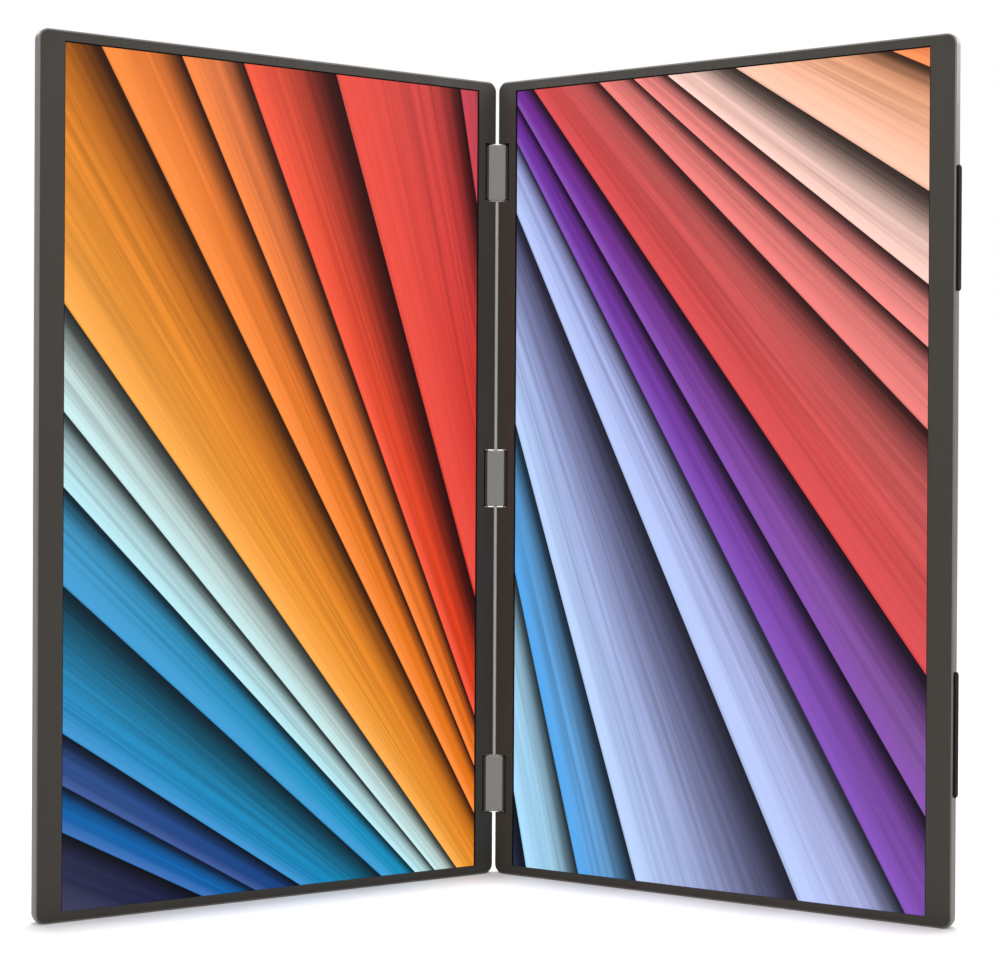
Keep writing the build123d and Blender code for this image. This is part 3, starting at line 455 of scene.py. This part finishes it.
def painted_shade_ends(finish, middle, half_width, coat):
    """Painted shade: a dark second colour on what lies further than half_width from a middle along x, standing
    in for the shade on the hinge barrels.
    """
    tree = finish.node_tree
    target = tree.nodes["Principled BSDF"].inputs["Base Color"]
    metal = target.links[0].from_socket
    place = coordinates(tree, (middle, 0.0, 0.0))
    across = add_node(tree, "ShaderNodeSeparateXYZ", {0: place}).outputs["X"]
    outside = maths(tree, "GREATER_THAN", maths(tree, "ABSOLUTE", across), half_width)
    tree.links.new(mixed(tree, outside, metal, opaque(coat)), target)


# The row of colours of each display's fan, from its first pleat to its last
FAN_COLOURS = {
    "left": (
        (0.00, (0.30, 0.006, 0.050)), (0.11, (0.62, 0.010, 0.010)), (0.23, (0.78, 0.055, 0.004)),
        (0.34, (0.84, 0.22, 0.008)), (0.44, (0.83, 0.47, 0.07)), (0.51, (0.80, 0.74, 0.56)),
        (0.59, (0.34, 0.68, 0.78)), (0.68, (0.010, 0.38, 0.62)), (0.78, (0.002, 0.14, 0.45)),
        (0.89, (0.003, 0.035, 0.20)), (1.00, (0.002, 0.006, 0.055)),
    ),
    "right": (
        (0.00, (0.82, 0.12, 0.010)), (0.10, (0.88, 0.32, 0.10)), (0.20, (0.90, 0.60, 0.52)),
        (0.30, (0.80, 0.22, 0.20)), (0.40, (0.56, 0.004, 0.012)), (0.50, (0.22, 0.004, 0.13)),
        (0.60, (0.15, 0.040, 0.45)), (0.70, (0.36, 0.36, 0.76)), (0.79, (0.42, 0.70, 0.88)),
        (0.88, (0.010, 0.27, 0.68)), (1.00, (0.010, 0.006, 0.14)),
    ),
}
FADE_SHARE, FADE_COLOUR = 0.10, (0.86, 0.84, 0.86)
RIDGE_GAIN, RIDGE_GLOW = (1.3, 1.3, 1.3, 1.0), (0.06, 0.055, 0.055)
RIDGE_SHARE = 0.75
VALLEY_LEVEL = 0.04
THREAD_SPAN, THREAD_LEVELS = (0.3, 0.7), (0.74, 1.14)
GLASS_SPECULAR = 0.05
GLASS_DARK, GLASS_PALE = (0.002, 0.002, 0.0025), (0.004, 0.004, 0.0045)
GLASS_CLOUD_SIZE, GLASS_GRAIN_SIZE = 120 * MM, 0.12 * MM
GLASS_ROUGHNESS = (0.42, 0.34)
GLASS_BUMP, GLASS_DEPTH = 0.08, 0.005 * MM


def fan_light(tree, side, place, settings):
    """The colour of the fan at a place on the display, from its pleats' shade, threads and bright ridges."""
    fan = getattr(settings, side + "_fan")
    folds = use_group(tree, PLEATS, {
        "Vector": place, "Fan X": fan[0], "Fan Z": fan[2], "Start": getattr(settings, side + "_start"),
        "Spread": settings.spread, "Turn": -float(SIDES[side]), "Pleats": float(settings.pleats),
    })
    ramp = add_node(tree, "ShaderNodeValToRGB", {"Fac": folds["Place"]})
    points = ramp.color_ramp.elements
    points.remove(points[1])
    (first_position, first_colour), *others = FAN_COLOURS[side]
    points[0].position, points[0].color = first_position, opaque(first_colour)
    for position, colour in others:
        points.new(position).color = opaque(colour)
    plain = ramp.outputs[0]
    faded = maths(tree, "MULTIPLY", folds["Fade"], FADE_SHARE)
    pale = mixed(tree, faded, plain, opaque(FADE_COLOUR))
    threads = ranged(tree, folds["Threads"], *THREAD_SPAN, *THREAD_LEVELS)
    shade = maths(tree, "MULTIPLY", ranged(tree, folds["Shade"], 0.0, 1.0, VALLEY_LEVEL, 1.0), threads)
    shaded = mixed(tree, 1.0, pale, shade, "MULTIPLY")
    deep = mixed(tree, 1.0, plain, RIDGE_GAIN, "MULTIPLY")
    bright = mixed(tree, 1.0, deep, opaque(RIDGE_GLOW), "ADD")
    return mixed(tree, maths(tree, "MULTIPLY", folds["Gleam"], RIDGE_SHARE), shaded, bright)


def display_picture(side, settings):
    """Lit satin glass: the fan inside the picture's edges, and black from there to under the bezel."""
    finish, tree, shader = new_finish(
        side + " display", Specular_IOR_Level=GLASS_SPECULAR, Emission_Strength=settings.brightness
    )
    middle = leaf_point(side, PICTURE_MIDDLE, 0.0, PICTURE_CENTRE)
    place = coordinates(tree, tuple(middle), -SIDES[side] * REST_TURN)
    parts = add_node(tree, "ShaderNodeSeparateXYZ", {0: place}).outputs
    within = maths(tree, "LESS_THAN", maths(tree, "ABSOLUTE", parts["X"]), PICTURE_HALF_WIDTH)
    level = maths(tree, "LESS_THAN", maths(tree, "ABSOLUTE", parts["Z"]), PICTURE_HALF_HEIGHT)
    facing = maths(tree, "LESS_THAN", parts["Y"], GLASS_SKIN - GLASS_FRONT)
    inside = maths(tree, "MULTIPLY", maths(tree, "MULTIPLY", within, level), facing)
    picture = mixed(tree, inside, opaque(BLACK), fan_light(tree, side, place, settings))
    tree.links.new(picture, shader.inputs["Emission Color"])
    clouds = use_group(tree, CLOUDS, {"Vector": place, "Size": GLASS_CLOUD_SIZE})
    grains = use_group(tree, GRAIN, {"Vector": place, "Size": GLASS_GRAIN_SIZE})
    tone = mixed(tree, grains["Specks"], opaque(GLASS_DARK), opaque(GLASS_PALE))
    tree.links.new(tone, shader.inputs["Base Color"])
    tree.links.new(ranged(tree, clouds["Wipes"], 0.0, 1.0, *GLASS_ROUGHNESS), shader.inputs["Roughness"])
    bumped(tree, shader, grains["Height"], GLASS_BUMP, GLASS_DEPTH)
    return finish


PAD_SCALE, PAD_REACH = 620.0, 0.22
PAD_COLOUR = (0.62, 0.48, 0.22)
TRACK_WIDTH, TRACK_STRETCH = 0.5 * MM, 40.0
TRACK_SPAN = (0.52, 0.56)
MASK_DARK, MASK_PALE = (0.012, 0.060, 0.030), (0.024, 0.115, 0.055)
BOARD_ROUGHNESS = (0.42, 0.28)
TRACK_BUMP, TRACK_DEPTH = 0.3, 0.03 * MM


def board_finish(name):
    """Solder mask with tracks and pads: cells of a small grid pick pads, and drawn lines make the tracks."""
    finish, tree, shader = new_finish(name, Specular_IOR_Level=0.5)
    place = coordinates(tree)
    grid = {"Vector": place, "Scale": PAD_SCALE}
    cells = add_node(tree, "ShaderNodeTexVoronoi", grid, distance="CHEBYCHEV").outputs
    pads = maths(tree, "LESS_THAN", cells["Distance"], PAD_REACH)
    drawing = {"Vector": place, "Width": TRACK_WIDTH, "Stretch": TRACK_STRETCH}
    tracks = ranged(tree, use_group(tree, LINES, drawing)["Lines"], *TRACK_SPAN, 0.0, 1.0)
    mask = mixed(tree, tracks, opaque(MASK_DARK), opaque(MASK_PALE))
    tree.links.new(mixed(tree, pads, mask, opaque(PAD_COLOUR)), shader.inputs["Base Color"])
    tree.links.new(ranged(tree, pads, 0.0, 1.0, *BOARD_ROUGHNESS), shader.inputs["Roughness"])
    tree.links.new(pads, shader.inputs["Metallic"])
    bumped(tree, shader, tracks, TRACK_BUMP, TRACK_DEPTH)
    return finish


def dress(finish, *nodes):
    for name in nodes:
        slots = NODES[name].data.materials
        slots.clear()
        slots.append(finish)


def both(*names):
    return [side + "_" + name for name in names for side in SIDES]


# Surfaces for the small new pieces
BAR_POWER = 0.3
BAR_RINGS = 4
CONTACT_AROUND, SIGN_AROUND = 8, 12
ARC_RINGS, ARC_AROUND = 28, 8
ARC_FULLNESS = 6


def signed_power(values, power):
    return np.sign(values) * np.abs(values) ** power


def capped_rings(rings, first, last):
    """A closed shell: quads join neighbouring rings of points, and triangles join each end to a point."""
    count, around, _ = rings.shape
    points = np.vstack((first[None], rings.reshape(-1, 3), last[None]))
    spot = np.arange(around)
    after = (spot + 1) % around
    start = 1 + around * np.arange(count - 1)[:, None]
    quads = np.stack((start + spot, start + after, start + around + after, start + around + spot), -1)
    low = np.stack((np.zeros_like(spot), 1 + after, 1 + spot), -1)
    top = 1 + around * (count - 1)
    high = np.stack((top + spot, top + after, np.full_like(spot, len(points) - 1)), -1)
    return points, [*low.tolist(), *quads.reshape(-1, 4).tolist(), *high.tolist()]


def rounded_bar(half_sizes, around):
    """A bar with rounded edges.

    Latitude v runs from end to end and longitude w goes round. Each coordinate is its half size times a signed
    power of the sphere's sines and cosines, and the small power makes it nearly a box.
    """
    v = np.linspace(-math.pi / 2, math.pi / 2, BAR_RINGS + 2)[1:-1, None]
    w = (np.arange(around) + 0.5) * 2 * math.pi / around
    girth = signed_power(np.cos(v), BAR_POWER)
    x = girth * signed_power(np.cos(w), BAR_POWER)
    y = girth * signed_power(np.sin(w), BAR_POWER)
    z = signed_power(np.sin(v), BAR_POWER)
    half = np.asarray(half_sizes)
    end = np.array((0.0, 0.0, half[2]))
    return capped_rings(np.stack(np.broadcast_arrays(x, y, z), -1) * half, -end, end)


def arc_bar(radius, width, height, start, end):
    """A flat bar bent round an arc.

    An oval profile, half a width by half a height, is carried along the arc. Its size falls to nothing at both
    ends, as the root of a half circle's height does.
    """
    along = np.linspace(0.0, 1.0, ARC_RINGS + 2)
    turn = start + (end - start) * along
    fullness = 4 * along * (1 - along) * ARC_FULLNESS
    size = np.minimum(1.0, np.sqrt(np.maximum(0.0, fullness)))[1:-1, None]
    w = np.arange(ARC_AROUND) * 2 * math.pi / ARC_AROUND
    out = radius + size * width / 2 * np.cos(w)
    rise = size * height / 2 * np.sin(w)
    inner = turn[1:-1, None]
    shape = np.stack(np.broadcast_arrays(out * np.cos(inner), out * np.sin(inner), rise), -1)
    ends = radius * np.stack((np.cos(turn), np.sin(turn), np.zeros_like(turn)), -1)
    return capped_rings(shape[:, ::-1], ends[0], ends[-1])


def place_shell(shell, origin, axes):
    """A shell's points moved to origin, along three right-handed directions."""
    points, faces = shell
    return points @ np.asarray(axes) + origin, faces


def new_piece(name, shells, finish, body):
    """One mesh object from several closed shells, riding on a body."""
    points, faces, start = [], [], 0
    for shell_points, shell_faces in shells:
        points.append(shell_points)
        faces += [[start + corner for corner in face] for face in shell_faces]
        start += len(shell_points)
    mesh = bpy.data.meshes.new(name)
    mesh.from_pydata(np.vstack(points).tolist(), [], faces)
    mesh.polygons.foreach_set("use_smooth", np.ones(len(faces), bool))
    mesh.materials.append(finish)
    mesh.update()
    piece = bpy.data.objects.new(name, mesh)
    bpy.context.scene.collection.objects.link(piece)
    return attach(piece, body)


def socket_contacts(u, count, pitch, width):
    """Contacts on both faces of a tongue: thin bars side by side, long along the height."""
    along, front, up = leaf_directions("right")
    bar = rounded_bar((width / 2, CONTACT_HALF_LENGTH, CONTACT_HALF_THICK), CONTACT_AROUND)
    offsets = (np.arange(count) - (count - 1) / 2) * pitch
    shells = []
    for offset in offsets:
        for face in (-1, 1):
            origin = leaf_point("right", u + offset, PORT_LEVEL + face * TONGUE_HALF, CONTACT_CENTRE)
            shells.append(place_shell(bar, origin, (along, up, front)))
    return shells


# Operators
class MONITOR_OT_covers(Operator):
    """Blasted metal on the rear covers, and steel on their screws"""

    bl_idname = "dual_monitor.covers"
    bl_label = "Rear covers"

    def execute(self, context):
        look = context.scene.monitor_finishes
        metal = grained(
            "blasted cover metal", look.cover_colour, roughness=0.44, grain=look.metal_grain,
            depth=0.012 * MM, spread=0.10, metallic=1.0,
        )
        dress(metal, *both("rear_cover"))
        steel = drawn(
            "cover screw steel", (0.060, 0.058, 0.055), roughness=0.34, width=0.08 * MM, stretch=3.0
        )
        dress(steel, *both("cover_screws"))
        return {"FINISHED"}


class MONITOR_OT_bezels(Operator):
    """Dark moulded grain on the frames round the displays"""

    bl_idname = "dual_monitor.bezels"
    bl_label = "Front bezels"

    def execute(self, context):
        look = context.scene.monitor_finishes
        plastic = grained(
            "grained bezel plastic", look.bezel_colour, roughness=0.44, grain=look.bezel_grain,
            depth=0.03 * MM, spread=0.16, specular=0.38,
        )
        dress(plastic, *both("front_bezel"))
        return {"FINISHED"}


class MONITOR_OT_displays(Operator):
    """Lit pictures of pleated light on both displays"""

    bl_idname = "dual_monitor.displays"
    bl_label = "Displays"

    def execute(self, context):
        for side in SIDES:
            dress(display_picture(side, context.scene.monitor_picture), side + "_display_glass")
        return {"FINISHED"}


class MONITOR_OT_panels(Operator):
    """Films, light guides, lamps, frames and back plates behind the glass"""

    bl_idname = "dual_monitor.panels"
    bl_label = "Panel stacks"

    def execute(self, context):
        for name, colour, roughness, node in (
            ("diffuser film", (0.78, 0.78, 0.80), 0.5, "optical_films"),
            ("light guide acrylic", (0.70, 0.74, 0.76), 0.18, "light_guide"),
            ("reflector film", (0.86, 0.86, 0.85), 0.4, "reflector_sheet"),
            ("lamp strip", (0.80, 0.74, 0.45), 0.4, "light_bar"),
            ("panel frame plastic", (0.62, 0.62, 0.60), 0.5, "panel_frame"),
        ):
            finish = grained(name, colour, roughness, grain=0.3 * MM, depth=0.01 * MM, spread=0.05)
            dress(finish, *both(node))
        plate = drawn("panel plate steel", (0.52, 0.52, 0.51), roughness=0.36, width=0.4 * MM, stretch=30.0)
        dress(plate, *both("panel_back_plate"))
        return {"FINISHED"}


class MONITOR_OT_electronics(Operator):
    """Boards, chips, speakers, switches, screws and link cables"""

    bl_idname = "dual_monitor.electronics"
    bl_label = "Electronics"

    def execute(self, context):
        dress(board_finish("circuit board"), "main_board", "left_receiver_board", *both("driver_board"))
        chip = grained("chip moulding", (0.018, 0.018, 0.019), roughness=0.5, grain=0.1 * MM, depth=0.01 * MM)
        dress(chip, "main_board_chips", "left_receiver_chips", "key_switches")
        cone = grained(
            "speaker moulding", (0.014, 0.014, 0.015), roughness=0.7, grain=0.35 * MM, depth=0.05 * MM
        )
        dress(cone, "right_speakers")
        jacket = grained(
            "cable jacket", (0.016, 0.016, 0.017), roughness=0.55, grain=0.2 * MM, depth=0.02 * MM
        )
        dress(jacket, "link_cable_middle", *both("link_cable_end"))
        steel = drawn("board screw steel", (0.56, 0.55, 0.53), roughness=0.3, width=0.08 * MM, stretch=3.0)
        dress(steel, *both("board_screws"))
        return {"FINISHED"}


class MONITOR_OT_hinges(Operator):
    """Drawn metal on the spine's blocks and strips, with painted shade on the blocks' barrel ends, and steel
    on the parts inside them
    """

    bl_idname = "dual_monitor.hinges"
    bl_label = "Hinges and spine"

    def execute(self, context):
        look = context.scene.monitor_finishes
        block = drawn(
            "hinge block metal", look.hinge_colour, roughness=0.36, width=0.12 * MM, stretch=80.0, spread=0.12
        )
        spine = (AXES["left"][0] + AXES["right"][0]) / 2
        # Painted shade: the blocks' ends past the front face take the dark barrel colour in place of the shade
        # in the notches
        painted_shade_ends(block, spine, BAR_HALF_WIDTH, look.barrel_painted_shade)
        dress(block, "lower_hinge_block", "middle_hinge_block", "upper_hinge_block")
        strip = drawn("spine strip metal", look.strip_colour, roughness=0.42, width=0.15 * MM, stretch=60.0)
        dress(strip, "lower_spine_strip", "upper_spine_strip")
        steel = drawn("hinge steel", (0.50, 0.49, 0.47), roughness=0.3, width=0.1 * MM, stretch=20.0)
        dress(steel, "friction_sleeves", *both("hinge_brackets", "hinge_shafts", "bracket_screws"))
        return {"FINISHED"}


class MONITOR_OT_sockets(Operator):
    """Steel shells and dark tongues of the sockets, with their plated contacts"""

    bl_idname = "dual_monitor.sockets"
    bl_label = "Sockets"

    def execute(self, context):
        look = context.scene.monitor_finishes
        steel = drawn("socket steel", (0.58, 0.57, 0.55), roughness=0.28, width=0.1 * MM, stretch=25.0)
        dress(steel, "usb_c_shells", "mini_hdmi_shell")
        tongue = grained(
            "socket tongue plastic", (0.015, 0.015, 0.016), roughness=0.45, grain=0.12 * MM, depth=0.01 * MM
        )
        dress(tongue, "usb_c_tongues", "mini_hdmi_tongue")
        gold = drawn(
            "contact plating", look.contact_colour, roughness=0.24, width=0.05 * MM, stretch=12.0, spread=0.08
        )
        for name, place in USB_PLACES.items():
            new_piece(name + "_usb_c_contacts", socket_contacts(place, **USB_CONTACTS), gold, "right_leaf")
        new_piece("mini_hdmi_contacts", socket_contacts(HDMI_PLACE, **HDMI_CONTACTS), gold, "right_leaf")
        return {"FINISHED"}


class MONITOR_OT_keys(Operator):
    """Moulded keys on the top edge, with a sign on each"""

    bl_idname = "dual_monitor.keys"
    bl_label = "Keys"

    def execute(self, context):
        look = context.scene.monitor_finishes
        cap = grained(
            "key plastic", look.key_colour, roughness=0.46, grain=look.metal_grain * KEY_GRAIN_SHARE,
            depth=0.01 * MM, spread=0.08,
        )
        dress(cap, *KEY_PLACES)
        ink = grained("key mark print", look.mark_colour, roughness=0.5, grain=0.06 * MM, depth=0.004 * MM)
        height = look.mark_height
        bar = rounded_bar((SIGN_HALF_LENGTH, SIGN_HALF_STROKE, height), SIGN_AROUND)
        upright = rounded_bar((SIGN_HALF_STROKE, SIGN_HALF_LENGTH, height), SIGN_AROUND)
        ring = arc_bar(RING_RADIUS, 2 * SIGN_HALF_STROKE, 2 * height, RING_START, RING_END)
        signs = {
            "minus_key": ((bar, 0.0),),
            "plus_key": ((bar, 0.0), (upright, 0.0)),
            "power_key": ((ring, 0.0), (upright, RING_BAR_SHIFT)),
        }
        along, front, up = leaf_directions("right")
        for key, strokes in signs.items():
            shells = []
            for shell, back in strokes:
                origin = leaf_point("right", KEY_PLACES[key], PORT_LEVEL - back, KEY_TOP)
                shells.append(place_shell(shell, origin, (along, -front, up)))
            new_piece(key + "_mark", shells, ink, key)
        return {"FINISHED"}


class MONITOR_OT_feet(Operator):
    """Black rubber on the edge feet and the rear feet"""

    bl_idname = "dual_monitor.feet"
    bl_label = "Rubber feet"

    def execute(self, context):
        look = context.scene.monitor_finishes
        rubber = grained(
            "foot rubber", look.rubber_colour, roughness=0.85, grain=0.3 * MM,
            depth=0.05 * MM, spread=0.2, specular=0.14,
        )
        dress(rubber, "right_edge_feet", "right_rear_feet")
        return {"FINISHED"}


# Stage
FLOOR_HALF = 6.0
FLOOR_STEPS = 3
CAMERA_PLACE = (-1.347 * MM, -1081.68 * MM, 213.35 * MM)
CAMERA_TURNS = (math.radians(-0.168), math.radians(-0.302), math.radians(-0.280))
CAMERA_LENS = 77.75
SENSOR_WIDTH = 36.0
LAMP_SIZE = 0.7
LAMP_AIM = (0.0, 0.0, 0.2)
LAMPS = {
    "edge_lamp": (1.15, 0.62, 0.95),
    "rear_lamp": (-1.3, 1.6, 1.4),
    "left_lamp": (-1.37, -0.61, 0.85),
    "right_lamp": (1.37, -0.61, 0.85),
}
# Far lights: a place that the light comes from, and the angle that it fills
FAR_PANELS = {
    "front_panel": ((-0.1, -1.0, 1.2), math.radians(40.0)),
    "top_panel": ((0.0, 0.05, 1.2), math.radians(4.5)),
}


def seen_rays(tree):
    """One for rays from the camera, from glossy surfaces and through clear ones, and nothing for the rest."""
    light = add_node(tree, "ShaderNodeLightPath").outputs
    seen = maths(tree, "MAXIMUM", light["Is Camera Ray"], light["Is Glossy Ray"])
    return maths(tree, "MAXIMUM", seen, light["Is Transmission Ray"])


def floor_finish(look):
    """A matt floor with a faint glow where it is seen."""
    finish = bpy.data.materials.new("pale floor")
    finish.use_nodes = True
    tree = finish.node_tree
    tree.nodes.clear()
    matt = add_node(tree, "ShaderNodeBsdfDiffuse", {"Color": opaque(look.floor_colour)})
    strength = maths(tree, "MULTIPLY", seen_rays(tree), look.floor_glow)
    glow = add_node(tree, "ShaderNodeEmission", {"Strength": strength})
    joined = add_node(tree, "ShaderNodeAddShader", {0: matt.outputs[0], 1: glow.outputs[0]})
    add_node(tree, "ShaderNodeOutputMaterial", {"Surface": joined.outputs[0]})
    return finish


def floor_surface():
    """A level square: x and y are two parameters on a grid, and the height is nothing."""
    steps = np.linspace(-1, 1, FLOOR_STEPS)
    x, y = np.meshgrid(steps, steps)
    points = np.stack((x, y, np.zeros_like(x)), -1).reshape(-1, 3) * FLOOR_HALF
    spot = np.arange(FLOOR_STEPS - 1)
    corner = (spot[:, None] * FLOOR_STEPS + spot).ravel()
    faces = np.stack((corner, corner + 1, corner + FLOOR_STEPS + 1, corner + FLOOR_STEPS), -1)
    return points, faces.tolist()


def surroundings(look):
    """White where it is seen, and an even plain level where it lights."""
    world = bpy.data.worlds.new("pale surroundings")
    bpy.context.scene.world = world
    world.use_nodes = True
    tree = world.node_tree
    tree.nodes.clear()
    lights = add_node(tree, "ShaderNodeBackground", {"Color": opaque(WHITE), "Strength": look.ambient})
    shows = add_node(tree, "ShaderNodeBackground", {"Color": opaque(WHITE), "Strength": 1.0})
    choice = {0: seen_rays(tree), 1: lights.outputs[0], 2: shows.outputs[0]}
    mix = add_node(tree, "ShaderNodeMixShader", choice)
    add_node(tree, "ShaderNodeOutputWorld", {"Surface": mix.outputs[0]})


def aimed_lamp(data, place):
    lamp = bpy.data.objects.new(data.name, data)
    bpy.context.scene.collection.objects.link(lamp)
    lamp.location = place
    lamp.rotation_euler = (Vector(LAMP_AIM) - Vector(place)).to_track_quat("-Z", "Y").to_euler()


def softbox(name, power, place):
    data = bpy.data.lights.new(name, "AREA")
    data.size = LAMP_SIZE
    data.energy = power
    aimed_lamp(data, place)


def far_panel(name, strength, place, spread):
    """A far light, so that the floor is as bright at its far end as under the object."""
    data = bpy.data.lights.new(name, "SUN")
    data.angle = spread
    data.energy = strength
    aimed_lamp(data, place)


def stage_camera():
    data = bpy.data.cameras.new("camera")
    data.lens = CAMERA_LENS
    data.sensor_width = SENSOR_WIDTH
    camera = bpy.data.objects.new("camera", data)
    bpy.context.scene.collection.objects.link(camera)
    yaw, roll, pitch = CAMERA_TURNS
    turn = Matrix.Rotation(yaw, 3, "Z") @ Matrix.Rotation(roll, 3, "Y") @ Matrix.Rotation(pitch, 3, "X")
    right, forward, up = (turn.col[index] for index in range(3))
    axes = Matrix((right, up, -forward)).transposed()
    camera.matrix_world = Matrix.Translation(CAMERA_PLACE) @ axes.to_4x4()
    bpy.context.scene.camera = camera


class MONITOR_OT_stage(Operator):
    """Pale floor, soft lamps, white surroundings and the camera"""

    bl_idname = "dual_monitor.stage"
    bl_label = "Stage"

    def execute(self, context):
        look = context.scene.monitor_stage
        points, faces = floor_surface()
        mesh = bpy.data.meshes.new("floor")
        mesh.from_pydata(points.tolist(), [], faces)
        mesh.materials.append(floor_finish(look))
        floor = bpy.data.objects.new("floor", mesh)
        context.scene.collection.objects.link(floor)
        surroundings(look)
        for name, place in LAMPS.items():
            softbox(name, getattr(look, name), place)
        for name, (place, spread) in FAR_PANELS.items():
            far_panel(name, getattr(look, name), place, spread)
        stage_camera()
        context.scene.view_settings.view_transform = "Standard"
        return {"FINISHED"}


OPERATORS = (
    MONITOR_OT_stage,
    MONITOR_OT_covers,
    MONITOR_OT_bezels,
    MONITOR_OT_displays,
    MONITOR_OT_panels,
    MONITOR_OT_electronics,
    MONITOR_OT_hinges,
    MONITOR_OT_sockets,
    MONITOR_OT_keys,
    MONITOR_OT_feet,
)
SETTINGS = {
    "monitor_finishes": MonitorFinishes,
    "monitor_picture": MonitorPicture,
    "monitor_stage": MonitorStage,
}


class MONITOR_PT_sidebar(Panel):
    """Lists the settings and the pieces"""

    bl_idname = "MONITOR_PT_sidebar"
    bl_label = "Dual portable monitor"
    bl_space_type = "VIEW_3D"
    bl_region_type = "UI"
    bl_category = "Dual monitor"

    def draw(self, context):
        for attribute, kind in SETTINGS.items():
            box = self.layout.box()
            for name in kind.__annotations__:
                box.prop(getattr(context.scene, attribute), name)
        for operator in OPERATORS:
            self.layout.operator(operator.bl_idname)


def register():
    for kind in (*SETTINGS.values(), *OPERATORS, MONITOR_PT_sidebar):
        bpy.utils.register_class(kind)
    for attribute, kind in SETTINGS.items():
        setattr(bpy.types.Scene, attribute, PointerProperty(type=kind))


def unregister():
    for attribute in SETTINGS:
        delattr(bpy.types.Scene, attribute)
    for kind in reversed((*SETTINGS.values(), *OPERATORS, MONITOR_PT_sidebar)):
        bpy.utils.unregister_class(kind)


def main():
    register()
    for operator in OPERATORS:
        group, name = operator.bl_idname.split(".")
        getattr(getattr(bpy.ops, group), name)()


if __name__ == "__main__":
    main()
